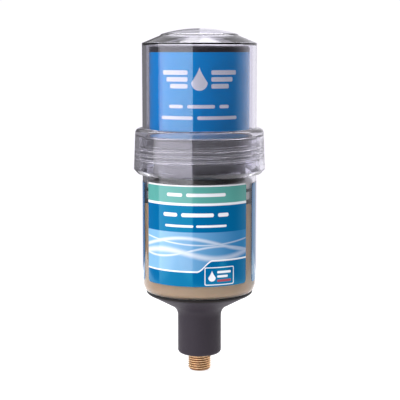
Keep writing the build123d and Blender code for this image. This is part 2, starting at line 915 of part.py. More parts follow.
# ---- Contact strips under and over the cells ----
def contact_strip(level):
    """Curved contact strip that joins the three cells at a level."""
    with BuildPart() as strip:
        with BuildSketch(Plane.XY.offset(level)):
            arc = CenterArc((0, 0), cell_circle, cell_angles[0], cell_angles[-1] - cell_angles[0])
            SlotArc(arc, strip_width)
        extrude(amount=strip_thickness)
    return strip.part


# ---- Battery tray: three open cradles on a floor ----
cell_places = [polar(cell_circle, angle) for angle in cell_angles]
tray_cut = (4 * base_bore_radius, 2 * base_bore_radius)

with BuildPart() as battery_tray:
    with BuildSketch(Plane.XY.offset(plate_top)):
        Circle(base_bore_radius - slide_fit)
        with Locations((0, tray_front)):
            Rectangle(*tray_cut, align=(Align.CENTER, Align.MAX), mode=Mode.SUBTRACT)
    extrude(amount=tray_floor)
    with BuildSketch(Plane.XY.offset(plate_top)):
        Circle(tray_radius)
        Circle(tray_core_radius, mode=Mode.SUBTRACT)
        with Locations((0, tray_front)):
            Rectangle(*tray_cut, align=(Align.CENTER, Align.MAX), mode=Mode.SUBTRACT)
    extrude(amount=tray_height)
    with BuildSketch(Plane.XY.offset(plate_top + tray_floor)):
        with Locations(cell_places):
            Circle(cell_radius + tray_cell_gap)
    extrude(amount=tray_height, mode=Mode.SUBTRACT)
    add(contact_strip(plate_top + tray_floor), mode=Mode.SUBTRACT)
battery_tray.part.label = "battery_tray"
export_step(battery_tray.part, "parts/battery_tray.step")

# ---- Battery cells ----
for number, place in enumerate(cell_places, start=1):
    with BuildPart() as battery_cell:
        with BuildSketch(Plane.XY.offset(cell_z)):
            with Locations(place):
                Circle(cell_radius)
        extrude(amount=cell_length)
        chamfer(battery_cell.edges().filter_by(GeomType.CIRCLE), cell_edge)
        with BuildSketch(Plane.XY.offset(cell_z + cell_length)):
            with Locations(place):
                Circle(cell_nub_radius)
        extrude(amount=cell_nub_height)
    battery_cell.part.label = f"battery_cell_{number}"
    export_step(battery_cell.part, f"parts/battery_cell_{number}.step")

with BuildPart() as contact_strip_bottom:
    add(contact_strip(plate_top + tray_floor))
contact_strip_bottom.part.label = "contact_strip_bottom"
export_step(contact_strip_bottom.part, "parts/contact_strip_bottom.step")

with BuildPart() as contact_strip_top:
    add(contact_strip(strip_top_z))
contact_strip_top.part.label = "contact_strip_top"
export_step(contact_strip_top.part, "parts/contact_strip_top.step")

# ---- Circuit board with its screws, switch and lamps ----
board_places = [polar(board_screw_circle, angle) for angle in board_screw_angles]
led_places = [polar(led_place_radius, angle) for angle in led_angles]

with BuildPart() as circuit_board:
    with BuildSketch(Plane.XY.offset(board_z)):
        Circle(board_radius)
        with Locations(board_places):
            Circle(board_screw_radius + seal_gap, mode=Mode.SUBTRACT)
    extrude(amount=board_thickness)
circuit_board.part.label = "circuit_board"
export_step(circuit_board.part, "parts/circuit_board.step")

with BuildPart() as board_screws:
    with BuildSketch(Plane.XY.offset(board_z - board_screw_head_height)):
        with Locations(board_places):
            Circle(board_screw_head)
    extrude(amount=board_screw_head_height)
    with BuildSketch(Plane.XY.offset(board_z)):
        with Locations(board_places):
            Circle(board_screw_radius)
    extrude(amount=ceiling_z - board_z)
board_screws.part.label = "board_screws"
export_step(board_screws.part, "parts/board_screws.step")

with BuildPart() as rotary_switch:
    with BuildSketch(Plane.XY.offset(board_top)):
        RectangleRounded(switch_size, switch_size, switch_corner)
    extrude(amount=switch_height)
    with Locations((0, 0, board_top + switch_height)):
        Hole(dial_stem_radius + running_fit, depth=dial_stem_length + air_gap)
rotary_switch.part.label = "rotary_switch"
export_step(rotary_switch.part, "parts/rotary_switch.step")

with BuildPart() as status_leds:
    with BuildSketch(Plane.XY.offset(board_top)):
        with Locations(led_places):
            Circle(led_radius)
    extrude(amount=led_height)
    chamfer(status_leds.edges().group_by(Axis.Z)[-1], led_chamfer)
status_leds.part.label = "status_leds"
export_step(status_leds.part, "parts/status_leds.step")

# ---- Drive housing: cup turned over, with bosses for the board and holes in its top ----
with BuildPart() as drive_housing:
    with BuildSketch(Plane.XY.offset(base_rim_z)):
        Circle(housing_radius)
    extrude(amount=housing_height)
    fillet(drive_housing.edges().group_by(Axis.Z)[-1], housing_edge)
    with BuildSketch(Plane.XY.offset(base_rim_z)):
        Circle(housing_radius - housing_wall)
    extrude(amount=housing_height - housing_wall, mode=Mode.SUBTRACT)
    with BuildSketch(Plane.XY.offset(board_top)):
        with Locations(board_places):
            Circle(board_boss_radius)
    extrude(amount=ceiling_z - board_top)
    with BuildSketch(Plane.XY.offset(board_top)):
        with Locations(board_places):
            Circle(board_screw_radius + seal_gap)
    extrude(amount=ceiling_z - board_top, mode=Mode.SUBTRACT)
    with BuildSketch(Plane.XY.offset(ceiling_z)):
        Circle(dial_radius + air_gap)
        with Locations(led_places):
            Circle(lens_radius)
    extrude(amount=housing_wall, mode=Mode.SUBTRACT)
drive_housing.part.label = "drive_housing"
export_step(drive_housing.part, "parts/drive_housing.step")

with BuildPart() as drive_label:
    add(
        label_sheet(
            housing_radius,
            base_rim_z + drive_label_bottom,
            housing_top - drive_label_top_margin,
            full_turn / 4 + drive_label_seam_angle,
            full_turn * 5 / 4 - drive_label_seam_angle,
        )
    )
drive_label.part.label = "drive_label"
export_step(drive_label.part, "parts/drive_label.step")

with BuildPart() as status_lens:
    with BuildSketch(Plane.XY.offset(housing_top)):
        with Locations(led_places):
            Circle(lens_radius)
    extrude(amount=-lens_length)
status_lens.part.label = "status_lens"
export_step(status_lens.part, "parts/status_lens.step")

# ---- Dial: disc with a raised slotted grip, and a stem into the switch ----
dial_z = board_top + switch_height
dial_top = dial_z + dial_height

with BuildPart() as dial:
    with BuildSketch(Plane.XY.offset(dial_z)):
        Circle(dial_radius)
    extrude(amount=dial_height)
    chamfer(dial.edges().group_by(Axis.Z)[-1], dial_chamfer)
    with BuildSketch(Plane.XY.offset(dial_top)):
        SlotOverall(dial_grip_length, dial_grip_width)
    extrude(amount=dial_grip_height)
    with BuildSketch(Plane.XY.offset(dial_top + dial_grip_height)):
        Rectangle(dial_slot_length, dial_slot_width)
    extrude(amount=-dial_slot_depth, mode=Mode.SUBTRACT)
    with BuildSketch(Plane.XY.offset(dial_z)):
        Circle(dial_stem_radius)
    extrude(amount=-dial_stem_length)
dial.part.label = "dial"
export_step(dial.part, "parts/dial.step")

# ---- Cover gasket ----
with BuildPart() as cover_gasket:
    with BuildSketch(Plane.XY.offset(base_rim_z)):
        Circle(neck_thread_root)
        Circle(neck_thread_root - gasket_width, mode=Mode.SUBTRACT)
    extrude(amount=gasket_thickness)
cover_gasket.part.label = "cover_gasket"
export_step(cover_gasket.part, "parts/cover_gasket.step")

# ---- Cover: collar, body, sloped edge and low lens-shaped top in one moulding ----
collar_z = cover_seat_z - collar_drop
collar_top = cover_seat_z + collar_rise
shoulder_fillet = min(
    collar_shoulder_radius, fillet_share * (collar_top_radius - cover_radius - cover_foot)
)
lens_z = dome_z + dome_edge_rise + lens_step
inner_dome_radius = dome_edge_radius - cover_wall / 2
inner_dome_z = dome_z + dome_edge_rise - cover_wall
inner_dome_rise = lens_step + lens_rise


def cap_radius(edge, rise):
    """Radius of a spherical cap from its edge radius and its rise."""
    return (edge**2 + rise**2) / (2 * rise)


lens_curve = cap_radius(lens_edge_radius, lens_rise)
lens_half_angle = degrees(asin(lens_edge_radius / lens_curve))
inner_curve = cap_radius(inner_dome_radius, inner_dome_rise)
inner_half_angle = degrees(asin(inner_dome_radius / inner_curve))

# Height between the two threads' ridges at which their flanks would touch
ridge_depth = neck_thread_crest - neck_thread_root + thread_embed
flank_slope = (screw_root_width - screw_crest_width) / 2 / ridge_depth
ridge_spacing = screw_root_width - flank_slope * (
    cover_thread_root - neck_thread_root + 2 * thread_embed
)

with BuildPart() as cover:
    with BuildSketch(Plane.XZ):
        with BuildLine():
            FilletPolyline(
                (cover_thread_root, collar_z),
                (collar_bottom_radius, collar_z + collar_chamfer),
                (collar_top_radius, collar_top),
                (cover_radius, collar_top),
                (cover_radius, dome_z),
                (dome_edge_radius, dome_z + dome_edge_rise),
                (lens_edge_radius, lens_z),
                radius=(collar_edge, shoulder_fillet, cover_foot, dome_edge, dome_edge),
            )
            CenterArc(
                (0, lens_z + lens_rise - lens_curve), lens_curve, 90 - lens_half_angle, lens_half_angle
            )
            Line((0, lens_z + lens_rise), (0, inner_dome_z + inner_dome_rise))
            CenterArc(
                (0, inner_dome_z + inner_dome_rise - inner_curve),
                inner_curve,
                90 - inner_half_angle,
                inner_half_angle,
            )
            Polyline(
                (inner_dome_radius, inner_dome_z),
                (cover_bore, dome_z - cover_wall / 2),
                (cover_bore, cover_seat_z),
                (cover_thread_root, cover_seat_z),
                (cover_thread_root, collar_z),
            )
        make_face()
    revolve(axis=Axis.Z)
    add(
        thread_ridge(
            screw_lead,
            screw_turns,
            thread_bottom - ridge_spacing - screw_flank_gap,
            cover_thread_root + thread_embed,
            cover_thread_crest,
            screw_root_width,
            screw_crest_width,
        )
    )
cover.part.label = "cover"
export_step(cover.part, "parts/cover.step")
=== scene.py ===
import math
import bpy
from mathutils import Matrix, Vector


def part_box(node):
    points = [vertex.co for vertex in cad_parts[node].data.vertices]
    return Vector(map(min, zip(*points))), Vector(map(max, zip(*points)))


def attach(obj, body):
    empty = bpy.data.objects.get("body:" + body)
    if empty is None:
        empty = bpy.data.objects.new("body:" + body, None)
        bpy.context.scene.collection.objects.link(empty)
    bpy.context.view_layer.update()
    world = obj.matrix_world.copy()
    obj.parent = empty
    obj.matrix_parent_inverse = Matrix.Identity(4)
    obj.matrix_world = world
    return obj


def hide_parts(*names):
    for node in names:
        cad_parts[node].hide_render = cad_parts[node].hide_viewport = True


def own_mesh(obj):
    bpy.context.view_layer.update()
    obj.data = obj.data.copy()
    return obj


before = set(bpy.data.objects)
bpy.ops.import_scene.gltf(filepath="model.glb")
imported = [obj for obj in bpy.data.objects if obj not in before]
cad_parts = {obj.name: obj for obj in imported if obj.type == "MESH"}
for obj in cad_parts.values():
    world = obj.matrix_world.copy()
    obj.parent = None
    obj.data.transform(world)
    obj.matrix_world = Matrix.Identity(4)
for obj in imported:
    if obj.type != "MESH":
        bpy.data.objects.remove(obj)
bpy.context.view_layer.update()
mm = 0.001


def srgb(red, green, blue):
    # turns ordinary 0-255 colour values into linear ones
    return tuple((c / 12.92 if c <= 0.04045 else ((c + 0.055) / 1.055) ** 2.4)
                 for c in (red / 255, green / 255, blue / 255)) + (1.0,)


def shaded(colour, share):
    # the same colour, darker where share is under 1 and lighter over 1
    return tuple(min(1.0, c * share) for c in colour[:3]) + (1.0,)


# Small helpers for building a material's nodes.

def newMaterial(name):
    material = bpy.data.materials.new(name)
    material.use_nodes = True
    tree = material.node_tree
    return material, tree, tree.nodes["Principled BSDF"]


def feed(tree, socket, value):
    if isinstance(value, bpy.types.NodeSocket):
        tree.links.new(value, socket)
    else:
        socket.default_value = value


def calc(tree, operation, *values, clamp=False):
    node = tree.nodes.new("ShaderNodeMath")
    node.operation = operation
    node.use_clamp = clamp
    for socket, value in zip(node.inputs, values):
        feed(tree, socket, value)
    return node.outputs[0]


def blendColour(tree, amount, first, second):
    node = tree.nodes.new("ShaderNodeMix")
    node.data_type = "RGBA"
    feed(tree, node.inputs[0], amount)
    feed(tree, node.inputs[6], first)
    feed(tree, node.inputs[7], second)
    return node.outputs[2]


def rangeMap(tree, value, fromLow, fromHigh, toLow=0.0, toHigh=1.0, smooth=False):
    node = tree.nodes.new("ShaderNodeMapRange")
    if smooth:
        node.interpolation_type = "SMOOTHSTEP"
    feed(tree, node.inputs[0], value)
    for index, number in zip((1, 2, 3, 4), (fromLow, fromHigh, toLow, toHigh)):
        feed(tree, node.inputs[index], number)
    return node.outputs[0]


def under(tree, value, limit, soft):
    # 1 below the limit and 0 above it, with an edge as wide as soft
    return rangeMap(tree, value, limit - soft / 2, limit + soft / 2, 1.0, 0.0)


def between(tree, value, low, high, soft):
    # 1 between low and high, 0 outside
    rise = rangeMap(tree, value, low - soft / 2, low + soft / 2)
    return calc(tree, "MULTIPLY", rise, under(tree, value, high, soft))


def anyOf(tree, masks):
    total = masks[0]
    for mask in masks[1:]:
        total = calc(tree, "MAXIMUM", total, mask)
    return total


def objectPoint(tree):
    coords = tree.nodes.new("ShaderNodeTexCoord")
    split = tree.nodes.new("ShaderNodeSeparateXYZ")
    tree.links.new(coords.outputs["Object"], split.inputs[0])
    return coords.outputs["Object"], split.outputs


def lengthOf(tree, x, y):
    square = calc(tree, "ADD", calc(tree, "MULTIPLY", x, x), calc(tree, "MULTIPLY", y, y))
    return calc(tree, "SQRT", square)


def heightOf(tree, parts):
    # height over the stem's tip, in millimetres
    return calc(tree, "MULTIPLY", parts[2], 1 / mm)


def distanceOut(tree, parts):
    # distance from the Z axis, in millimetres
    return calc(tree, "MULTIPLY", lengthOf(tree, parts[0], parts[1]), 1 / mm)


def noise(tree, vector, scale, detail=3.0):
    node = tree.nodes.new("ShaderNodeTexNoise")
    tree.links.new(vector, node.inputs["Vector"])
    node.inputs["Scale"].default_value = scale
    node.inputs["Detail"].default_value = detail
    return node.outputs["Fac"]


def stretch(tree, vector, scale):
    node = tree.nodes.new("ShaderNodeMapping")
    tree.links.new(vector, node.inputs["Vector"])
    node.inputs["Scale"].default_value = scale
    return node.outputs[0]


def toolMarks(tree, point, scale):
    # noise drawn out round the Z axis, as a turning tool leaves it
    return noise(tree, stretch(tree, point, (0.05, 0.05, 1.0)), scale, 2.0)


def roughen(tree, shader, pattern, low, high):
    # roughness from low to high; a noise pattern mostly lies between 0.3 and 0.7
    feed(tree, shader.inputs["Roughness"], rangeMap(tree, pattern, 0.3, 0.7, low, high))


def bump(tree, shader, height, strength, distance):
    node = tree.nodes.new("ShaderNodeBump")
    node.inputs["Strength"].default_value = strength
    node.inputs["Distance"].default_value = distance
    tree.links.new(height, node.inputs["Height"])
    tree.links.new(node.outputs[0], shader.inputs["Normal"])


# Moulded plastics and rubber. The grain is its noise scale, and the grain's depth is in metres.
mouldings = {
    "darkHousing": {"colour": srgb(30, 29, 32), "roughness": 0.4, "mottle": 0.1,
                    "grain": 600.0, "grainDepth": 0.00003},
    "sealRubber": {"colour": srgb(22, 21, 22), "roughness": 0.6, "mottle": 0.15,
                   "grain": 500.0, "grainDepth": 0.00004},
    "naturalMoulding": {"colour": srgb(208, 204, 194), "roughness": 0.42, "mottle": 0.05,
                        "grain": 500.0, "grainDepth": 0.00003},
    "gearMoulding": {"colour": srgb(226, 222, 210), "roughness": 0.38, "mottle": 0.05,
                     "grain": 700.0, "grainDepth": 0.00002},
    "dialMoulding": {"colour": srgb(196, 198, 200), "roughness": 0.35, "mottle": 0.05,
                     "grain": 700.0, "grainDepth": 0.00002},
    "lampMoulding": {"colour": srgb(205, 215, 205), "roughness": 0.2, "mottle": 0.05,
                     "grain": 700.0, "grainDepth": 0.00001, "coat": 0.4},
    "scaleInk": {"colour": srgb(230, 232, 234), "roughness": 0.5, "mottle": 0.03,
                 "grain": 900.0, "grainDepth": 0.00001},
}
mouldSkin = {"cloudScale": 60.0, "uneven": 0.06, "strength": 0.5}


def mouldedPlastic(name, colour, roughness, mottle, grain, grainDepth, coat=0.0):
    # a faint mottle in the colour, and a fine grain in the gloss and on the surface
    material, tree, shader = newMaterial(name)
    point, _ = objectPoint(tree)
    cloud = noise(tree, point, mouldSkin["cloudScale"], 4.0)
    feed(tree, shader.inputs["Base Color"],
         blendColour(tree, cloud, shaded(colour, 1 - mottle), shaded(colour, 1 + mottle)))
    fine = noise(tree, point, grain, 2.0)
    roughen(tree, shader, fine, roughness - mouldSkin["uneven"], roughness + mouldSkin["uneven"])
    shader.inputs["Coat Weight"].default_value = coat
    bump(tree, shader, fine, mouldSkin["strength"], grainDepth)
    return material


moulded = {name: mouldedPlastic(name, **look) for name, look in mouldings.items()}

# Bright metals, with the noise scale of their tool marks.
metals = {
    "steelTurned": {"colour": srgb(176, 176, 180), "roughness": 0.28, "markScale": 2600.0},
    "motorCan": {"colour": srgb(160, 162, 166), "roughness": 0.32, "markScale": 900.0},
    "contactMetal": {"colour": srgb(200, 192, 172), "roughness": 0.3, "markScale": 1200.0},
}
metalSkin = {"cloudScale": 120.0, "shade": 0.82, "smoother": 0.08, "rougher": 0.1, "strength": 0.35,
             "markDepth": 0.00001}


def turnedMetal(name, colour, roughness, markScale):
    p = metalSkin
    material, tree, shader = newMaterial(name)
    point, _ = objectPoint(tree)
    marks = toolMarks(tree, point, markScale)
    cloud = noise(tree, point, p["cloudScale"])
    feed(tree, shader.inputs["Base Color"], blendColour(tree, cloud, shaded(colour, p["shade"]), colour))
    shader.inputs["Metallic"].default_value = 1.0
    roughen(tree, shader, marks, roughness - p["smoother"], roughness + p["rougher"])
    bump(tree, shader, marks, p["strength"], p["markDepth"])
    return material


turned = {name: turnedMetal(name, **look) for name, look in metals.items()}

# The two clear mouldings. The tint drifts a little along the flow, and a trace of dust dulls the gloss.
clearSkin = {"ior": 1.49, "flowScale": 40.0, "flowStretch": (1.0, 1.0, 0.3), "dustScale": 700.0,
             "dustFrom": 0.5, "dustTo": 0.8, "dulling": 0.03}
clearWalls = {
    "clearCanister": {"tint": (0.96, 0.955, 0.985, 1.0), "streak": (0.94, 0.935, 0.97, 1.0), "roughness": 0.01},
    "clearCover": {"tint": (0.94, 0.93, 0.99, 1.0), "streak": (0.92, 0.91, 0.975, 1.0), "roughness": 0.005},
}


def clearPlastic(name, tint, streak, roughness):
    p = clearSkin
    material, tree, shader = newMaterial(name)
    point, _ = objectPoint(tree)
    flow = noise(tree, stretch(tree, point, p["flowStretch"]), p["flowScale"], 2.0)
    dust = noise(tree, point, p["dustScale"], 2.0)
    feed(tree, shader.inputs["Base Color"], blendColour(tree, flow, streak, tint))
    feed(tree, shader.inputs["Roughness"],
         rangeMap(tree, dust, p["dustFrom"], p["dustTo"], roughness, roughness + p["dulling"]))
    shader.inputs["IOR"].default_value = p["ior"]
    shader.inputs["Transmission Weight"].default_value = 1.0
    return material


clear = {name: clearPlastic(name, **look) for name, look in clearWalls.items()}

# Haze in the cover's thick collar. It comes in from foot to full, goes from fade to gone, and is
# several times as strong on the frosted crests of the thread as from the radius beside outwards.
collarHaze = {"share": 0.045, "foot": 118.0, "full": 124.0, "fade": 140.5, "gone": 141.5,
              "crest": 33.65, "beside": 34.2, "onCrest": 3.5}


def hazeCollar(material):
    p = collarHaze
    tree = material.node_tree
    _, parts = objectPoint(tree)
    up = heightOf(tree, parts)
    haze = calc(tree, "MULTIPLY", rangeMap(tree, up, p["foot"], p["full"], 0.0, p["share"]),
                rangeMap(tree, up, p["fade"], p["gone"], 1.0, 0.0))
    frost = rangeMap(tree, distanceOut(tree, parts), p["crest"], p["beside"], p["onCrest"], 1.0)
    through = calc(tree, "SUBTRACT", 1.0, calc(tree, "MULTIPLY", haze, frost))
    feed(tree, tree.nodes["Principled BSDF"].inputs["Transmission Weight"], through)


hazeCollar(clear["clearCover"])
print("plastics and metals ready")

# Shapes for the prints. Lengths are in millimetres: across runs round the wall from the front, and up
# is the height over the stem's tip.
labelFilm = {"edge": 0.12, "barCorner": 0.45, "dropTall": 1.9, "dropTaper": 1.3, "dotScale": 1500.0,
             "roughness": 0.07, "uneven": 0.03, "gloss": 0.6, "hueGain": 8.0, "hueFloor": 0.12}


def wrapPlane(tree, radius):
    _, parts = objectPoint(tree)
    back = calc(tree, "MULTIPLY", parts[1], -1.0)
    angle = calc(tree, "ARCTAN2", parts[0], back)
    return calc(tree, "MULTIPLY", angle, radius), heightOf(tree, parts)


def roundBox(tree, across, up, centre, size, corner):
    halfWide, halfHigh = size[0] / 2 - corner, size[1] / 2 - corner
    dx = calc(tree, "SUBTRACT", calc(tree, "ABSOLUTE", calc(tree, "SUBTRACT", across, centre[0])), halfWide)
    dy = calc(tree, "SUBTRACT", calc(tree, "ABSOLUTE", calc(tree, "SUBTRACT", up, centre[1])), halfHigh)
    reach = lengthOf(tree, calc(tree, "MAXIMUM", dx, 0.0), calc(tree, "MAXIMUM", dy, 0.0))
    inner = calc(tree, "MINIMUM", calc(tree, "MAXIMUM", dx, dy), 0.0)
    away = calc(tree, "SUBTRACT", calc(tree, "ADD", reach, inner), corner)
    return under(tree, away, 0.0, labelFilm["edge"])


def dropShape(tree, across, up, centre, radius):
    # a plain drop: a disc whose top is drawn out to a point
    tall = radius * labelFilm["dropTall"]
    x = calc(tree, "SUBTRACT", across, centre[0])
    y = calc(tree, "SUBTRACT", up, centre[1])
    narrow = rangeMap(tree, calc(tree, "MAXIMUM", y, 0.0), 0.0, tall, 1.0, 0.0)
    width = calc(tree, "MULTIPLY", calc(tree, "POWER", narrow, labelFilm["dropTaper"]), radius)
    upper = calc(tree, "SUBTRACT", calc(tree, "ABSOLUTE", x), width)
    disc = calc(tree, "SUBTRACT", lengthOf(tree, x, calc(tree, "MINIMUM", y, 0.0)), radius)
    tip = calc(tree, "SUBTRACT", y, tall)
    away = calc(tree, "MAXIMUM", calc(tree, "MAXIMUM", upper, disc), tip)
    return under(tree, away, 0.0, labelFilm["edge"])


def barRow(tree, across, up, middle, height, stretches):
    # plain bars in a row, a filler where a line of print would be
    corner = height * labelFilm["barCorner"]
    return anyOf(tree, [roundBox(tree, across, up, ((low + high) / 2, middle), (high - low, height), corner)
                        for low, high in stretches])


def waveRibbon(tree, across, up, level, swing, pace, start, width):
    # a soft ribbon that follows a wave round the label
    wave = calc(tree, "SINE", calc(tree, "MULTIPLY_ADD", across, pace, start))
    away = calc(tree, "ABSOLUTE", calc(tree, "SUBTRACT", up, calc(tree, "MULTIPLY_ADD", wave, swing, level)))
    return rangeMap(tree, away, 0.0, width, 1.0, 0.0, smooth=True)


def printedFilm(name, paint, radius):
    # glossy label film: paint(tree, across, up) gives the ink; the gloss over deep blue takes on its hue
    p = labelFilm
    material, tree, shader = newMaterial(name)
    ink = paint(tree, *wrapPlane(tree, radius))
    feed(tree, shader.inputs["Base Color"], ink)
    split = tree.nodes.new("ShaderNodeSeparateColor")
    tree.links.new(ink, split.inputs[0])
    hue = tree.nodes.new("ShaderNodeCombineColor")
    feed(tree, hue.inputs[0],
         calc(tree, "MULTIPLY_ADD", split.outputs[0], p["hueGain"], p["hueFloor"], clamp=True))
    hue.inputs[1].default_value = 1.0
    hue.inputs[2].default_value = 1.0
    tree.links.new(hue.outputs[0], shader.inputs["Specular Tint"])
    point, _ = objectPoint(tree)
    dots = noise(tree, point, p["dotScale"], 2.0)
    roughen(tree, shader, dots, p["roughness"] - p["uneven"], p["roughness"] + p["uneven"])
    shader.inputs["Specular IOR Level"].default_value = p["gloss"]
    return material


# In the prints, a box is its middle, its size and its corner, and a bar row its height, its bars'
# height and where each bar starts and ends. A ribbon is its level, swing, pace, start and width.
frontPrint = {
    "radius": 32.75, "greenTop": 111.3, "greenBottom": 102.2, "lineBottom": 100.8,
    "fieldTop": 86.0, "fieldLeft": 64.4, "fieldRight": 70.6, "stepAt": 3.0, "stepWidth": 9.0,
    "paleReach": 26.0, "glowLeft": -34.0, "glowRight": 30.0, "glowMost": 0.85, "glowLeast": 0.35,
    "edgeWidth": 0.9, "edgeSoft": 0.1,
    "green": srgb(88, 162, 152), "blue": srgb(0, 98, 150), "pale": srgb(128, 180, 214),
    "paleFar": srgb(40, 118, 172), "white": srgb(236, 238, 240), "red": srgb(160, 36, 58),
    "ribbons": ((75.0, 3.0, 0.085, 0.6, 1.0), (78.5, 4.2, 0.07, 2.2, 1.6), (73.5, 2.4, 0.1, 3.6, 2.6),
                (81.0, 2.2, 0.06, 4.6, 0.7)),
    "bars": ((106.7, 1.9, ((-19.0, -9.6), (-7.4, 15.0))),
             (95.6, 2.1, ((-21.4, -12.6), (-10.2, 8.0), (10.4, 16.8))),
             (89.4, 1.3, ((-20.2, -3.4), (-1.8, 15.6)))),
    "frame": ((11.6, 61.4), (17.6, 10.2), 0.9), "frameInside": ((11.6, 61.4), (16.6, 9.2), 0.6),
    "drop": ((7.0, 60.6), 2.1),
    "whiteBoxes": (((14.2, 63.6), (8.4, 1.3), 0.5), ((13.2, 61.2), (6.4, 1.3), 0.5)),
    "redBox": ((14.2, 58.8), (8.4, 1.3), 0.3),
}


def paintFront(tree, across, up):
    p = frontPrint
    soft = labelFilm["edge"]
    colour = blendColour(tree, between(tree, up, p["greenBottom"], p["greenTop"], soft), p["white"], p["green"])
    colour = blendColour(tree, under(tree, up, p["lineBottom"], soft), colour, p["blue"])
    # the pale field is lighter to the left, has soft wave ribbons across it, and ends in a stepped edge
    step = rangeMap(tree, across, p["stepAt"] - p["stepWidth"] / 2, p["stepAt"] + p["stepWidth"] / 2,
                    p["fieldLeft"], p["fieldRight"], smooth=True)
    overStep = calc(tree, "SUBTRACT", up, step)
    field = calc(tree, "MULTIPLY", rangeMap(tree, overStep, -soft / 2, soft / 2),
                 under(tree, up, p["fieldTop"], soft))
    far = rangeMap(tree, across, -p["paleReach"], p["paleReach"])
    fieldColour = blendColour(tree, far, p["pale"], p["paleFar"])
    glow = anyOf(tree, [waveRibbon(tree, across, up, *ribbon) for ribbon in p["ribbons"]])
    fading = rangeMap(tree, across, p["glowLeft"], p["glowRight"], p["glowMost"], p["glowLeast"])
    fieldColour = blendColour(tree, calc(tree, "MULTIPLY", glow, fading), fieldColour, p["white"])
    colour = blendColour(tree, field, colour, fieldColour)
    edge = between(tree, overStep, -p["edgeWidth"], 0.0, p["edgeSoft"])
    colour = blendColour(tree, edge, colour, p["white"])
    marks = [barRow(tree, across, up, *bar) for bar in p["bars"]]
    marks.append(dropShape(tree, across, up, *p["drop"]))
    marks += [roundBox(tree, across, up, *box) for box in p["whiteBoxes"]]
    marks.append(calc(tree, "SUBTRACT", roundBox(tree, across, up, *p["frame"]),
                      roundBox(tree, across, up, *p["frameInside"])))
    colour = blendColour(tree, anyOf(tree, marks), colour, p["white"])
    return blendColour(tree, roundBox(tree, across, up, *p["redBox"]), colour, p["red"])


backPrint = {
    "radius": 32.75, "blue": srgb(52, 104, 152), "white": srgb(238, 241, 243), "grey": srgb(120, 140, 155),
    "boxes": (((-30.0, 91.0), (30.0, 26.0), 0.8), ((8.0, 98.0), (36.0, 12.0), 0.8),
              ((8.0, 78.0), (36.0, 20.0), 0.8)),
    "barHeight": 0.8,
    "leftBars": ((-43.0, -25.0), (-23.0, -17.0)), "leftRows": (100.0, 96.5, 93.0, 89.5, 86.0, 82.5),
    "rightBars": ((-7.0, 6.0), (8.0, 23.0)), "rightRows": (101.0, 97.5, 84.5, 81.0, 77.5, 74.0, 70.5),
    "linePitch": 5.0, "lineShare": 0.08, "lineSoft": 0.02, "lineFoot": 59.0, "lineTop": 64.0, "lineEndSoft": 0.1,
}


def paintBack(tree, across, up):
    p = backPrint
    # distance from the back of the wall, so that the print doesn't cross the angle's jump
    turnedBack = calc(tree, "SUBTRACT", math.pi * p["radius"], calc(tree, "ABSOLUTE", across))
    side = calc(tree, "MULTIPLY", calc(tree, "SIGN", across), turnedBack)
    boxes = [roundBox(tree, side, up, *box) for box in p["boxes"]]
    colour = blendColour(tree, anyOf(tree, boxes), p["blue"], p["white"])
    rows = [barRow(tree, side, up, height, p["barHeight"], p["leftBars"]) for height in p["leftRows"]]
    rows += [barRow(tree, side, up, height, p["barHeight"], p["rightBars"]) for height in p["rightRows"]]
    colour = blendColour(tree, anyOf(tree, rows), colour, p["grey"])
    # a row of short upright lines along the foot
    lines = between(tree, calc(tree, "FRACT", calc(tree, "DIVIDE", side, p["linePitch"])),
                    0.0, p["lineShare"], p["lineSoft"])
    band = between(tree, up, p["lineFoot"], p["lineTop"], p["lineEndSoft"])
    return blendColour(tree, calc(tree, "MULTIPLY", lines, band), colour, p["white"])


drivePrint = {
    "radius": 28.65, "blue": srgb(0, 146, 222), "white": srgb(248, 250, 252),
    "drop": ((0.0, 168.0), 4.4),
    "wings": 3, "wingTop": 173.4, "wingPitch": 3.7, "wingHigh": 2.5, "wingLong": 15.0, "wingShorter": 2.4,
    "wingGap": 6.4, "wingCorner": 0.8,
    "bars": ((154.9, 1.9, ((-17.3, -9.0), (-6.6, 8.4), (11.0, 16.6))),
             (148.7, 1.9, ((-22.6, -3.6), (-1.2, 22.0)))),
}


def paintDrive(tree, across, up):
    p = drivePrint
    marks = [dropShape(tree, across, up, *p["drop"])]
    side = calc(tree, "ABSOLUTE", across)
    for wing in range(p["wings"]):
        long = p["wingLong"] - wing * p["wingShorter"]
        place = (p["wingGap"] + long / 2, p["wingTop"] - wing * p["wingPitch"])
        marks.append(roundBox(tree, side, up, place, (long, p["wingHigh"]), p["wingCorner"]))
    marks += [barRow(tree, across, up, *bar) for bar in p["bars"]]
    return blendColour(tree, anyOf(tree, marks), p["blue"], p["white"])


print("prints ready")

# Finishes that change with the height or the distance from the axis, in millimetres.
# The flange's rim carries a band of painted shade: from the height from to the height to it darkens to the colour
# rim.
rimShade = {"from": 45.5, "to": 46.3, "body": srgb(54, 48, 56), "rim": srgb(22, 17, 16), "shade": 0.9,
            "roughLow": 0.5, "roughHigh": 0.6, "gloss": 0.2, "grain": 700.0, "grainDepth": 0.00005}


def flangeFinish():
    # matt moulding, with a band of painted shade round the top of the rim, where the canister's overhang shades
    # it
    p = rimShade
    material, tree, shader = newMaterial("flangeMoulding")
    point, parts = objectPoint(tree)
    band = rangeMap(tree, heightOf(tree, parts), p["from"], p["to"], smooth=True)
    cloud = noise(tree, point, mouldSkin["cloudScale"], 4.0)
    body = blendColour(tree, cloud, shaded(p["body"], p["shade"]), p["body"])
    # painted shade: the colour goes dark towards the top of the rim
    feed(tree, shader.inputs["Base Color"], blendColour(tree, band, body, p["rim"]))
    fine = noise(tree, point, p["grain"], 2.0)
    roughen(tree, shader, fine, p["roughLow"], p["roughHigh"])
    shader.inputs["Specular IOR Level"].default_value = p["gloss"]
    bump(tree, shader, fine, mouldSkin["strength"], p["grainDepth"])
    return material


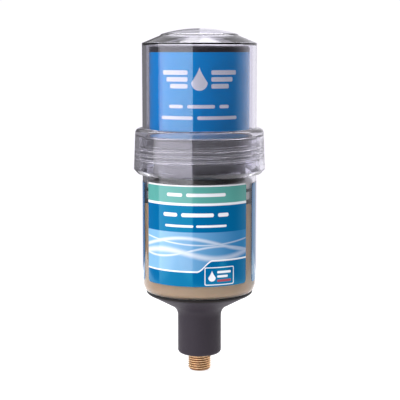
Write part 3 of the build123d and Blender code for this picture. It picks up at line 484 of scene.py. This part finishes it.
grooveShade = {"root": 5.75, "crest": 6.5, "bright": srgb(255, 220, 176), "deep": srgb(146, 96, 60),
               "shade": 0.88, "roughRoot": 0.45, "roughCrest": 0.24, "markScale": 2600.0, "markStrength": 0.3}


def threadFinish():
    # cut brass, bright on the crests and dull in the grooves
    p = grooveShade
    material, tree, shader = newMaterial("brassThread")
    point, parts = objectPoint(tree)
    lit = rangeMap(tree, distanceOut(tree, parts), p["root"], p["crest"], smooth=True)
    cloud = noise(tree, point, metalSkin["cloudScale"])
    bright = blendColour(tree, cloud, shaded(p["bright"], p["shade"]), p["bright"])
    feed(tree, shader.inputs["Base Color"], blendColour(tree, lit, p["deep"], bright))
    shader.inputs["Metallic"].default_value = 1.0
    feed(tree, shader.inputs["Roughness"], rangeMap(tree, lit, 0.0, 1.0, p["roughRoot"], p["roughCrest"]))
    bump(tree, shader, toolMarks(tree, point, p["markScale"]), p["markStrength"], metalSkin["markDepth"])
    return material


cellWrap = {"bandFrom": 171.0, "capFrom": 179.8, "footTo": 132.0, "edge": 0.1, "wrap": srgb(38, 42, 50),
            "band": srgb(190, 128, 60), "metal": srgb(190, 190, 194), "grain": 600.0, "roughLow": 0.24,
            "roughHigh": 0.36, "strength": 0.3, "grainDepth": 0.00001}


def cellFinish():
    # a dark sleeve with a warm band, and bare metal at both ends
    p = cellWrap
    material, tree, shader = newMaterial("cellWrap")
    point, parts = objectPoint(tree)
    up = heightOf(tree, parts)
    metal = calc(tree, "SUBTRACT", 1.0, between(tree, up, p["footTo"], p["capFrom"], p["edge"]))
    band = between(tree, up, p["bandFrom"], p["capFrom"], p["edge"])
    colour = blendColour(tree, band, p["wrap"], p["band"])
    feed(tree, shader.inputs["Base Color"], blendColour(tree, metal, colour, p["metal"]))
    feed(tree, shader.inputs["Metallic"], metal)
    fine = noise(tree, point, p["grain"], 2.0)
    roughen(tree, shader, fine, p["roughLow"], p["roughHigh"])
    bump(tree, shader, fine, p["strength"], p["grainDepth"])
    return material


boardCoat = {"first": srgb(16, 84, 52), "second": srgb(20, 94, 58), "trace": srgb(52, 132, 88),
             "traceScale": 320.0, "traceWidth": 0.05, "traceStrength": 0.4, "traceDepth": 0.00003,
             "grain": 400.0, "roughLow": 0.25, "roughHigh": 0.4}


def boardFinish():
    # green lacquer with the copper showing as paler lines
    p = boardCoat
    material, tree, shader = newMaterial("boardCoat")
    point, _ = objectPoint(tree)
    traces = tree.nodes.new("ShaderNodeTexBrick")
    tree.links.new(point, traces.inputs["Vector"])
    traces.inputs["Scale"].default_value = p["traceScale"]
    traces.inputs["Mortar Size"].default_value = p["traceWidth"]
    traces.inputs["Color1"].default_value = p["first"]
    traces.inputs["Color2"].default_value = p["second"]
    traces.inputs["Mortar"].default_value = p["trace"]
    feed(tree, shader.inputs["Base Color"], traces.outputs["Color"])
    roughen(tree, shader, noise(tree, point, p["grain"]), p["roughLow"], p["roughHigh"])
    bump(tree, shader, traces.outputs["Fac"], p["traceStrength"], p["traceDepth"])
    return material


greaseLook = {"colour": srgb(203, 172, 133), "shade": 0.86, "cloudScale": 90.0, "cloudStretch": (1.0, 1.0, 0.5),
              "roughLow": 0.3, "roughHigh": 0.42, "glowWeight": 0.15, "glowDepth": 0.002,
              "lumpScale": 260.0, "lumpStrength": 0.4, "lumpDepth": 0.00015}


def greaseFinish():
    # soft tan grease: light goes a little way in, and the surface is faintly lumpy
    p = greaseLook
    material, tree, shader = newMaterial("greaseTan")
    point, _ = objectPoint(tree)
    cloud = noise(tree, stretch(tree, point, p["cloudStretch"]), p["cloudScale"], 4.0)
    feed(tree, shader.inputs["Base Color"],
         blendColour(tree, cloud, shaded(p["colour"], p["shade"]), p["colour"]))
    roughen(tree, shader, cloud, p["roughLow"], p["roughHigh"])
    shader.inputs["Subsurface Weight"].default_value = p["glowWeight"]
    shader.inputs["Subsurface Scale"].default_value = p["glowDepth"]
    bump(tree, shader, noise(tree, point, p["lumpScale"]), p["lumpStrength"], p["lumpDepth"])
    return material


# What each solid wears. A solid that a piece below stands for has that piece's finish.
finishOf = {
    "support_flange": flangeFinish(), "threaded_stem": threadFinish(), "grease_fill": greaseFinish(),
    "canister": clear["clearCanister"], "cover": clear["clearCover"],
    "front_label": printedFilm("frontPrint", paintFront, frontPrint["radius"]),
    "back_label": printedFilm("backPrint", paintBack, backPrint["radius"]),
    "drive_label": printedFilm("drivePrint", paintDrive, drivePrint["radius"]),
    "circuit_board": boardFinish(), "motor": turned["motorCan"],
}
sharedFinishes = [
    (moulded["darkHousing"], ("drive_housing", "drive_base", "gear_plate", "battery_tray", "rotary_switch")),
    (moulded["sealRubber"], ("cover_gasket", "neck_o_ring", "spigot_o_ring", "piston_seal_lower",
                             "piston_seal_upper")),
    (moulded["naturalMoulding"], ("piston", "spindle")),
    (moulded["gearMoulding"], ("output_gear", "idler_gear", "motor_pinion", "output_bush", "spindle_foot_bush")),
    (moulded["dialMoulding"], ("dial",)),
    (moulded["lampMoulding"], ("status_leds", "status_lens")),
    (turned["steelTurned"], ("idler_pin", "motor_shaft", "gear_plate_screws", "board_screws")),
    (turned["contactMetal"], ("contact_strip_bottom", "contact_strip_top")),
    (cellFinish(), ("battery_cell_1", "battery_cell_2", "battery_cell_3")),
]
for finish, nodeNames in sharedFinishes:
    finishOf.update({nodeName: finish for nodeName in nodeNames})

for nodeName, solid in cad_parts.items():
    for slot in solid.material_slots:
        slot.material = finishOf[nodeName]
print("solids finished:", len(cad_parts))


# Turned pieces are rings of points round the Z axis, joined into one closed skin.

def pointAt(radius, angle, height):
    return (radius * mm * math.cos(angle), radius * mm * math.sin(angle), height * mm)


def meshPiece(name, points, faces, sharpAngle, finish):
    # a piece that is smooth apart from edges sharper than the angle, in degrees
    mesh = bpy.data.meshes.new(name)
    mesh.from_pydata(points, [], faces)
    mesh.validate()
    mesh.shade_smooth()
    mesh.set_sharp_from_angle(angle=math.radians(sharpAngle))
    mesh.materials.append(finish)
    piece = bpy.data.objects.new(name, mesh)
    bpy.context.scene.collection.objects.link(piece)
    return piece


def ringMesh(name, rows, segments, sharpAngle, finish, loop=True):
    # each row gives its point for a turn from 0 to 1; a loop's last row meets its first, and other
    # skins are closed by a flat face at each end
    count = len(rows)
    points = [row(turn / segments) for row in rows for turn in range(segments)]
    faces = []
    for level in range(count if loop else count - 1):
        here, above = level * segments, (level + 1) % count * segments
        for turn in range(segments):
            step = (turn + 1) % segments
            faces.append((here + turn, here + step, above + step, above + turn))
    if not loop:
        faces.append(tuple(reversed(range(segments))))
        faces.append(tuple((count - 1) * segments + turn for turn in range(segments)))
    return meshPiece(name, points, faces, sharpAngle, finish)


def ring(radius, height):
    def place(turn):
        return pointAt(radius, turn * math.tau, height)
    return place


def rings(points):
    return [ring(point[0], point[1]) for point in points]


def softCorners(corners, steps=6):
    # points (radius, height) along a line; a corner is (radius, height, rounding)
    points = []
    for index, (radius, height, rounding) in enumerate(corners):
        corner = Vector((radius, height))
        if not rounding:
            points.append(corner)
            continue
        back = (Vector(corners[index - 1][:2]) - corner).normalized()
        on = (Vector(corners[index + 1][:2]) - corner).normalized()
        half = back.angle(on) / 2
        centre = corner + (back + on).normalized() * (rounding / math.sin(half))
        start = corner + back * (rounding / math.tan(half))
        end = corner + on * (rounding / math.tan(half))
        arm = start - centre
        turn = arm.angle_signed(end - centre)
        for step in range(steps + 1):
            angle = -turn * step / steps
            points.append(centre + Vector((arm.x * math.cos(angle) - arm.y * math.sin(angle),
                                           arm.x * math.sin(angle) + arm.y * math.cos(angle))))
    return points


def bow(centre, radius, fromAngle, toAngle, steps):
    # points on an arc, angles in degrees from the radius direction towards up
    turns = [math.radians(fromAngle + (toAngle - fromAngle) * step / steps) for step in range(steps + 1)]
    return [Vector((centre[0] + radius * math.cos(turn), centre[1] + radius * math.sin(turn))) for turn in turns]


def heights(low, high, step):
    count = max(1, math.ceil((high - low) / step))
    return [low + (high - low) * index / count for index in range(count + 1)]


# The screw joint between the canister and its cover. Here and below, radii and heights are in
# millimetres, and sharp is the angle in degrees from which an edge stays crisp.
screw = {"lead": 3.0, "turns": 3, "rootWidth": 1.61, "crestWidth": 0.8, "rowStep": 0.07, "segments": 192,
         "sharp": 30.0}


def ridgeRow(height, root, crest, start):
    # one row across the helical ridge, whose middle starts at the height start over the +X axis
    rootHalf, crestHalf = screw["rootWidth"] / 2, screw["crestWidth"] / 2

    def place(turn):
        along = height - start - screw["lead"] * turn
        lap = min(max(round(along / screw["lead"]), 0), screw["turns"] - 1)
        away = abs(along - lap * screw["lead"])
        share = min(max((rootHalf - away) / (rootHalf - crestHalf), 0.0), 1.0)
        return pointAt(root + (crest - root) * share * share * (3 - 2 * share), turn * math.tau, height)
    return place


# The clear canister with its threaded neck.
canisterForm = {"bore": 30.6, "wall": 32.6, "neck": 33.0, "crest": 34.3, "rim": 30.9, "plug": 28.9, "spigot": 6.0,
                "outlet": 3.0, "corner": 8.4, "cornerMid": 24.2, "cornerHeight": 52.967, "cornerSteps": 12,
                "innerCorner": 5.0, "innerSteps": 10, "floor": 48.0, "seat": 45.2, "rimTop": 47.9,
                "spigotFoot": 28.3, "wallFrom": 55.0, "wallTo": 123.0, "wallStep": 20.0, "neckFoot": 123.6,
                "wallEnd": 0.4, "neckLip": 0.8, "top": 135.7, "lipEase": 0.25}


def makeCanister():
    p = canisterForm
    points = softCorners([(p["bore"], p["top"], 0.0), (p["bore"], p["floor"] + p["innerCorner"], 0.0)])
    points += bow((p["bore"] - p["innerCorner"], p["floor"] + p["innerCorner"]), p["innerCorner"],
                  0, -90, p["innerSteps"])[1:]
    points += softCorners([
        (p["outlet"], p["floor"], 0.0), (p["outlet"], p["spigotFoot"], 0.0), (p["spigot"], p["spigotFoot"], 0.0),
        (p["spigot"], p["seat"], 0.0), (p["plug"], p["seat"], 0.0), (p["plug"], p["rimTop"], 0.0),
        (p["rim"], p["rimTop"], 0.0)])
    sweep = math.degrees(math.asin((p["cornerHeight"] - p["rimTop"]) / p["corner"]))
    points += bow((p["cornerMid"], p["cornerHeight"]), p["corner"], -sweep, 0, p["cornerSteps"])[1:]
    points += [(p["wall"], height) for height in heights(p["wallFrom"], p["wallTo"], p["wallStep"])]
    points += [(p["wall"], p["neckFoot"] - p["wallEnd"]), (p["neck"], p["neckFoot"] - p["neckLip"])]
    last = p["neckFoot"] + screw["lead"] * screw["turns"] + screw["rootWidth"] / 2
    thread = heights(p["neckFoot"] - p["neckLip"], last, screw["rowStep"])[1:]
    lip = softCorners([(p["neck"], last, 0.0), (p["neck"], p["top"], p["lipEase"]), (p["bore"], p["top"], 0.0)])
    rows = rings(points)
    rows += [ridgeRow(height, p["neck"], p["crest"], p["neckFoot"]) for height in thread]
    rows += rings(lip[1:-1])
    canister = ringMesh("clearCanister", rows, screw["segments"], screw["sharp"], clear["clearCanister"])
    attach(canister, "canister_unit")
    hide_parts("canister")


makeCanister()
print("canister turned")

# The clear cover, with the thread inside its collar and a shallow lens on top.
coverForm = {"collarFoot": 115.3, "chamferTop": 118.2, "threadRoot": 34.9, "threadCrest": 33.6,
             "rootFrom": 121.0, "rootTo": 134.0, "footRadius": 37.57, "shoulderRadius": 36.6,
             "shoulder": 141.4, "shoulderEase": 2.6, "collarEase": 0.6, "ease": 0.4, "wall": 32.6, "bore": 30.4,
             "edge": 189.5, "slopeTop": 193.7, "slopeRadius": 22.4, "lensEdge": 21.5, "lensFoot": 194.6,
             "top": 197.7, "seat": 137.2, "innerEdge": 188.4, "innerRadius": 21.3, "innerFoot": 191.5,
             "innerTop": 195.5, "innerEase": 0.5, "seatEase": 0.3, "threadStart": 122.431, "centre": 0.05,
             "lensSteps": 24, "cornerSteps": 8}


def dome(edge, foot, top, steps, centre):
    # shallow dome from its middle to its edge
    rise = top - foot
    curve = (edge ** 2 + rise ** 2) / (2 * rise)
    radii = [centre + (edge - centre) * step / steps for step in range(steps + 1)]
    return [Vector((radius, top - curve + math.sqrt(curve ** 2 - radius ** 2))) for radius in radii]


def makeCover():
    p = coverForm
    inner = dome(p["innerRadius"], p["innerFoot"], p["innerTop"], p["lensSteps"], p["centre"])
    inner += softCorners([
        (p["innerRadius"], p["innerFoot"], 0.0), (p["bore"], p["innerEdge"], p["innerEase"]),
        (p["bore"], p["seat"], p["seatEase"]), (p["threadRoot"], p["seat"], p["seatEase"]),
        (p["threadRoot"], p["rootTo"], 0.0)])[1:]
    last = p["threadStart"] + screw["lead"] * screw["turns"] + screw["rootWidth"] / 2
    thread = heights(p["threadStart"] - screw["rootWidth"] / 2, last, screw["rowStep"])
    outer = softCorners([
        (p["threadRoot"], p["rootFrom"], 0.0), (p["threadRoot"], p["collarFoot"], p["seatEase"]),
        (p["footRadius"], p["chamferTop"], p["collarEase"]),
        (p["shoulderRadius"], p["shoulder"], p["shoulderEase"]),
        (p["wall"], p["shoulder"], p["ease"]), (p["wall"], p["edge"], p["ease"]),
        (p["slopeRadius"], p["slopeTop"], p["ease"]), (p["lensEdge"], p["lensFoot"], 0.0)], p["cornerSteps"])
    lens = dome(p["lensEdge"], p["lensFoot"], p["top"], p["lensSteps"], p["centre"])
    rows = rings(inner)
    rows += [ridgeRow(height, p["threadRoot"], p["threadCrest"], p["threadStart"]) for height in reversed(thread)]
    rows += rings(outer)
    rows += rings(list(reversed(lens))[1:])
    cover = ringMesh("clearCover", rows, screw["segments"], screw["sharp"], clear["clearCover"], loop=False)
    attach(cover, "cover")
    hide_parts("cover")


makeCover()
print("cover turned")

# The support flange: a neck that flares out to the rim under the canister.
flangeForm = {"foot": 10.0, "neck": 12.6, "footEase": 2.0, "hollowAt": 36.4, "hollow": 6.8, "rim": 30.9,
              "rimFoot": 46.3, "rimEase": 1.6, "top": 47.9, "topEase": 0.3, "seatWall": 29.1, "seat": 45.2,
              "socket": 6.2, "socketFloor": 28.0, "passage": 2.5, "stemTop": 24.0, "stemWall": 6.5,
              "cornerSteps": 10, "segments": 128, "sharp": 35.0}


def makeFlange():
    p = flangeForm
    rows = rings(softCorners([
        (p["stemWall"], p["foot"], 0.0), (p["neck"], p["foot"], p["footEase"]),
        (p["neck"], p["hollowAt"], p["hollow"]), (p["rim"], p["rimFoot"], p["rimEase"]),
        (p["rim"], p["top"], p["topEase"]), (p["seatWall"], p["top"], 0.0), (p["seatWall"], p["seat"], 0.0),
        (p["socket"], p["seat"], 0.0), (p["socket"], p["socketFloor"], 0.0),
        (p["passage"], p["socketFloor"], 0.0), (p["passage"], p["stemTop"], 0.0),
        (p["stemWall"], p["stemTop"], 0.0)], p["cornerSteps"]))
    flange = ringMesh("flangeBody", rows, p["segments"], p["sharp"], finishOf["support_flange"])
    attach(flange, "canister_unit")
    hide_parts("support_flange")


makeFlange()
print("flange turned")

# The brass stem. Its thread runs out just under the flange, and the stem goes on inside it.
stemThread = {"pitch": 1.337, "outer": 6.58, "depth": 0.86, "rootWidth": 0.3, "crestWidth": 0.26,
              "runoutGap": 0.1, "runout": 0.9, "tipChamfer": 1.0, "bore": 3.0, "boreDepth": 9.5, "boreEase": 0.3,
              "passage": 2.5, "shankFoot": 0.2, "shankIn": 0.1, "rowStep": 0.1, "segments": 96, "sharp": 50.0}


def makeStem():
    p = stemThread
    low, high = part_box("threaded_stem")
    flangeLow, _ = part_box("support_flange")
    threadTop = flangeLow[2] / mm
    stemTop = high[2] / mm
    shank = (high[1] - low[1]) / 2 / mm - p["shankIn"]

    def threadRow(height):
        def place(turn):
            phase = (height / p["pitch"] - turn) % 1.0
            saw = abs(phase - 0.5) * 2.0  # 1 at the root, 0 at the crest
            cut = min(max((saw - p["crestWidth"]) / (1 - p["crestWidth"] - p["rootWidth"]), 0.0), 1.0)
            fade = min(1.0, max(0.0, (threadTop - p["runoutGap"] - height) / p["runout"]))
            radius = min(p["outer"] - p["depth"] * cut * fade, p["outer"] - p["tipChamfer"] + height)
            return pointAt(radius, turn * math.tau, height)
        return place

    rows = [ring(p["passage"], stemTop), ring(p["passage"], p["boreDepth"]), ring(p["bore"], p["boreDepth"]),
            ring(p["bore"], p["boreEase"]), ring(p["bore"] + p["boreEase"], 0.0)]
    steps = int(threadTop / p["rowStep"])
    rows += [threadRow(step * threadTop / steps) for step in range(steps + 1)]
    rows += [ring(p["outer"], threadTop + p["shankFoot"]), ring(shank, threadTop + p["shankFoot"]),
             ring(shank, stemTop)]
    stem = ringMesh("stemThread", rows, p["segments"], p["sharp"], finishOf["threaded_stem"])
    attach(stem, "canister_unit")
    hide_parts("threaded_stem")


makeStem()
print("threaded stem cut")

# The grease and the seals wet the wall: they reach a hair into it, so that no film of air shows there.
greaseBody = {"corner": 3.2, "wetting": 0.13, "cornerSteps": 10, "core": 7.9, "slack": 0.1,
              "segments": 128, "sharp": 32.0}


def makeGrease():
    p = greaseBody
    low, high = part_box("grease_fill")
    radius, floor, top = high[0] / mm + p["wetting"], low[2] / mm - p["wetting"], high[2] / mm
    rows = [ring(p["core"], top), ring(p["core"], floor)]
    for step in range(p["cornerSteps"] + 1):
        bend = math.pi / 2 * step / p["cornerSteps"]
        rows.append(ring(radius - p["corner"] * (1 - math.sin(bend)), floor + p["corner"] * (1 - math.cos(bend))))
    rows.append(ring(radius, top))
    grease = ringMesh("greaseFilling", rows, p["segments"], p["sharp"], finishOf["grease_fill"])
    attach(grease, "canister_unit")
    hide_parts("grease_fill")
    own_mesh(grease)


makeGrease()
print("grease filled")

# The piston's two lip seals.
sealRings = {"wetting": 0.08, "edge": 0.35, "width": 4.0, "segments": 128, "sharp": 60.0}


def makeSeal(node, name):
    p = sealRings
    low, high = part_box(node)
    radius, bottom, top = high[0] / mm + p["wetting"], low[2] / mm, high[2] / mm
    inner = radius - p["width"]
    rows = [ring(inner, top), ring(inner, bottom), ring(radius - p["edge"], bottom),
            ring(radius, bottom + p["edge"]), ring(radius, top - p["edge"]), ring(radius - p["edge"], top)]
    seal = ringMesh(name, rows, p["segments"], p["sharp"], moulded["sealRubber"])
    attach(seal, "piston")
    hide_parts(node)


makeSeal("piston_seal_lower", "lowerSealRing")
makeSeal("piston_seal_upper", "upperSealRing")
print("seals fitted")

# The two labels on the canister, bent round its wall. They run from one angle to another, in degrees
# round from the +X axis, and corner is the rounding of their corners.
labelSheets = {
    "front_label": {"name": "frontSheet", "from": 208.6, "to": 322.9, "slot": "front_print"},
    "back_label": {"name": "backSheet", "from": -25.0, "to": 196.5, "slot": "back_print"},
}
sheetForm = {"radius": 32.75, "inner": 32.57, "corner": 2.0, "columns": 160, "cornerColumns": 10, "sharp": 50.0}


def makeLabel(node, facts):
    p = sheetForm
    low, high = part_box(node)
    bottom, top = low[2] / mm, high[2] / mm
    span = math.radians(facts["to"] - facts["from"])
    cornerTurn = p["corner"] / p["radius"]
    ends = [cornerTurn * (1 - math.cos(math.pi / 2 * step / p["cornerColumns"]))
            for step in range(p["cornerColumns"])]
    middle = [cornerTurn + (span - 2 * cornerTurn) * step / p["columns"] for step in range(p["columns"] + 1)]
    turns = ends + middle + [span - turn for turn in reversed(ends)]
    points, faces = [], []
    for turn in turns:
        inset = max(0.0, p["corner"] - min(turn, span - turn) * p["radius"])
        cut = p["corner"] - math.sqrt(max(0.0, p["corner"] ** 2 - inset ** 2))
        angle = math.radians(facts["from"]) + turn
        points += [pointAt(radius, angle, height) for radius in (p["inner"], p["radius"])
                   for height in (bottom + cut, top - cut)]
    for column in range(len(turns) - 1):
        here, on = 4 * column, 4 * column + 4
        faces += [(here, here + 1, on + 1, on), (here + 2, on + 2, on + 3, here + 3),
                  (here, on, on + 2, here + 2), (here + 1, here + 3, on + 3, on + 1)]
    last = 4 * (len(turns) - 1)
    faces += [(0, 2, 3, 1), (last, last + 1, last + 3, last + 2)]
    sheet = meshPiece(facts["name"], points, faces, p["sharp"], finishOf[node])
    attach(sheet, "canister_unit")
    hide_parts(node)


for labelNode, labelFacts in labelSheets.items():
    makeLabel(labelNode, labelFacts)
print("labels wrapped")

# Raised numbers round the dial.
dialScale = {"count": 12, "radius": 11.9, "height": 2.2, "raise": 0.12}


def makeDialScale():
    p = dialScale
    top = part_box("drive_housing")[1][2]
    for number in range(1, p["count"] + 1):
        bearing = math.tau * number / p["count"]
        text = bpy.data.curves.new(f"scaleNumber{number}", "FONT")
        text.body = str(number)
        text.size = p["height"] * mm
        text.extrude = p["raise"] * mm / 2
        text.align_x = "CENTER"
        text.align_y = "CENTER"
        text.materials.append(moulded["scaleInk"])
        mark = bpy.data.objects.new(f"scaleNumber{number}", text)
        bpy.context.scene.collection.objects.link(mark)
        mark.location = (math.sin(bearing) * p["radius"] * mm, math.cos(bearing) * p["radius"] * mm,
                         top + p["raise"] * mm / 2)
        mark.rotation_euler = (0, 0, -bearing)
        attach(mark, "canister_unit")


makeDialScale()
print("dial scale set")

# The floor, in metres. It gives light of its own, so that it stays as bright as the wall behind it.
floorPaint = {"reach": 0.3, "drop": 0.0002, "colour": (0.25, 0.25, 0.25, 1.0), "shade": 0.98, "glow": 0.86,
              "roughness": 0.9}


def makeFloor():
    p = floorPaint
    reach = p["reach"]
    mesh = bpy.data.meshes.new("floor")
    mesh.from_pydata([(-reach, -reach, 0), (reach, -reach, 0), (reach, reach, 0), (-reach, reach, 0)],
                     [], [(0, 1, 2, 3)])
    floor = bpy.data.objects.new("floor", mesh)
    bpy.context.scene.collection.objects.link(floor)
    floor.location.z = -p["drop"]
    material, tree, shader = newMaterial("floorPaint")
    point, _ = objectPoint(tree)
    cloud = noise(tree, point, 3.0)
    feed(tree, shader.inputs["Base Color"],
         blendColour(tree, cloud, shaded(p["colour"], p["shade"]), p["colour"]))
    shader.inputs["Roughness"].default_value = p["roughness"]
    shader.inputs["Specular IOR Level"].default_value = 0.0
    shader.inputs["Emission Color"].default_value = (1, 1, 1, 1)
    shader.inputs["Emission Strength"].default_value = p["glow"]
    mesh.materials.append(material)


# The light all comes from the surroundings. Bearings are in degrees round from the front, and heights
# in degrees above the horizon: a soft box at the left, washes at the right, left, top and back, and a
# bright panel behind whose foot is tilted. What the camera sees behind the object is plain.
lightBoxes = {"tone": (0.985, 0.965, 1.03, 1.0), "dark": 0.13, "seen": 1.05,
              "boxLeft": -89.0, "boxRight": -13.5, "boxLow": -42.0, "boxHigh": 62.0, "boxPower": 2.4,
              "boxSideSoft": 1.0, "boxEndSoft": 3.0,
              "rightFrom": 60.0, "rightTo": 122.0, "rightPower": 0.9,
              "leftFrom": -134.0, "leftTo": -116.0, "leftPower": 0.2,
              "overFrom": 54.0, "overTo": 60.0, "overPower": 3.4,
              "backFrom": 9.0, "backTo": 24.0, "backPower": 0.9, "backHalf": 75.0, "backSoft": 12.0,
              "topFrom": 45.5, "topTo": 48.0, "topPower": 6.0, "topTilt": 0.25, "topHalf": 60.0, "topSoft": 2.0}


def makeLight():
    p = lightBoxes
    world = bpy.data.worlds.new("studio")
    bpy.context.scene.world = world
    world.use_nodes = True
    tree = world.node_tree
    ground = tree.nodes["Background"]
    coords = tree.nodes.new("ShaderNodeTexCoord")
    split = tree.nodes.new("ShaderNodeSeparateXYZ")
    tree.links.new(coords.outputs["Generated"], split.inputs[0])
    back = calc(tree, "MULTIPLY", split.outputs[1], -1.0)
    bearing = calc(tree, "MULTIPLY", calc(tree, "ARCTAN2", split.outputs[0], back), 180 / math.pi)
    rise = calc(tree, "MULTIPLY", calc(tree, "ARCSINE", split.outputs[2]), 180 / math.pi)
    fromBack = calc(tree, "SUBTRACT", 180.0, calc(tree, "ABSOLUTE", bearing))

    def wash(angle, side, smooth=True):
        # a light that comes in from one angle to another
        share = rangeMap(tree, angle, p[side + "From"], p[side + "To"], smooth=smooth)
        return calc(tree, "MULTIPLY", share, p[side + "Power"])

    softBox = calc(tree, "MULTIPLY", between(tree, bearing, p["boxLeft"], p["boxRight"], p["boxSideSoft"]),
                   between(tree, rise, p["boxLow"], p["boxHigh"], p["boxEndSoft"]))
    left = calc(tree, "MULTIPLY", rangeMap(tree, bearing, p["leftFrom"], p["leftTo"], 1.0, 0.0, smooth=True),
                p["leftPower"])
    backEnds = rangeMap(tree, fromBack, p["backHalf"] - p["backSoft"], p["backHalf"] + p["backSoft"],
                        1.0, 0.0, smooth=True)
    topEnds = rangeMap(tree, fromBack, p["topHalf"] - p["topSoft"], p["topHalf"] + p["topSoft"], 1.0, 0.0)
    lift = calc(tree, "ADD", rise, calc(tree, "MULTIPLY", fromBack, p["topTilt"]))
    strength = anyOf(tree, [
        wash(bearing, "right"), left, wash(rise, "over"), calc(tree, "MULTIPLY", wash(rise, "back"), backEnds),
        calc(tree, "MULTIPLY", wash(lift, "top", smooth=False), topEnds), p["dark"],
        calc(tree, "MULTIPLY", softBox, p["boxPower"])])
    path = tree.nodes.new("ShaderNodeLightPath")
    seen = path.outputs["Is Camera Ray"]
    strength = calc(tree, "ADD", calc(tree, "MULTIPLY", strength, calc(tree, "SUBTRACT", 1.0, seen)),
                    calc(tree, "MULTIPLY", seen, p["seen"]))
    tree.links.new(strength, ground.inputs["Strength"])
    ground.inputs["Color"].default_value = p["tone"]
    bpy.context.scene.view_settings.view_transform = "Standard"


# The camera: millimetres, with the pitch in degrees.
cameraPlace = {"distance": 650.0, "pitch": 7.6, "aim": 99.8, "side": 0.3, "lens": 101.4, "sensor": 36.0}


def makeCamera():
    p = cameraPlace
    pitch = math.radians(p["pitch"])
    camera = bpy.data.objects.new("camera", bpy.data.cameras.new("camera"))
    bpy.context.scene.collection.objects.link(camera)
    camera.data.lens = p["lens"]
    camera.data.sensor_width = p["sensor"]
    camera.location = Vector((p["side"], -p["distance"] * math.cos(pitch),
                              p["aim"] + p["distance"] * math.sin(pitch))) * mm
    camera.rotation_euler = (math.pi / 2 - pitch, 0, 0)
    bpy.context.scene.camera = camera


makeFloor()
makeLight()
makeCamera()
print("studio set")
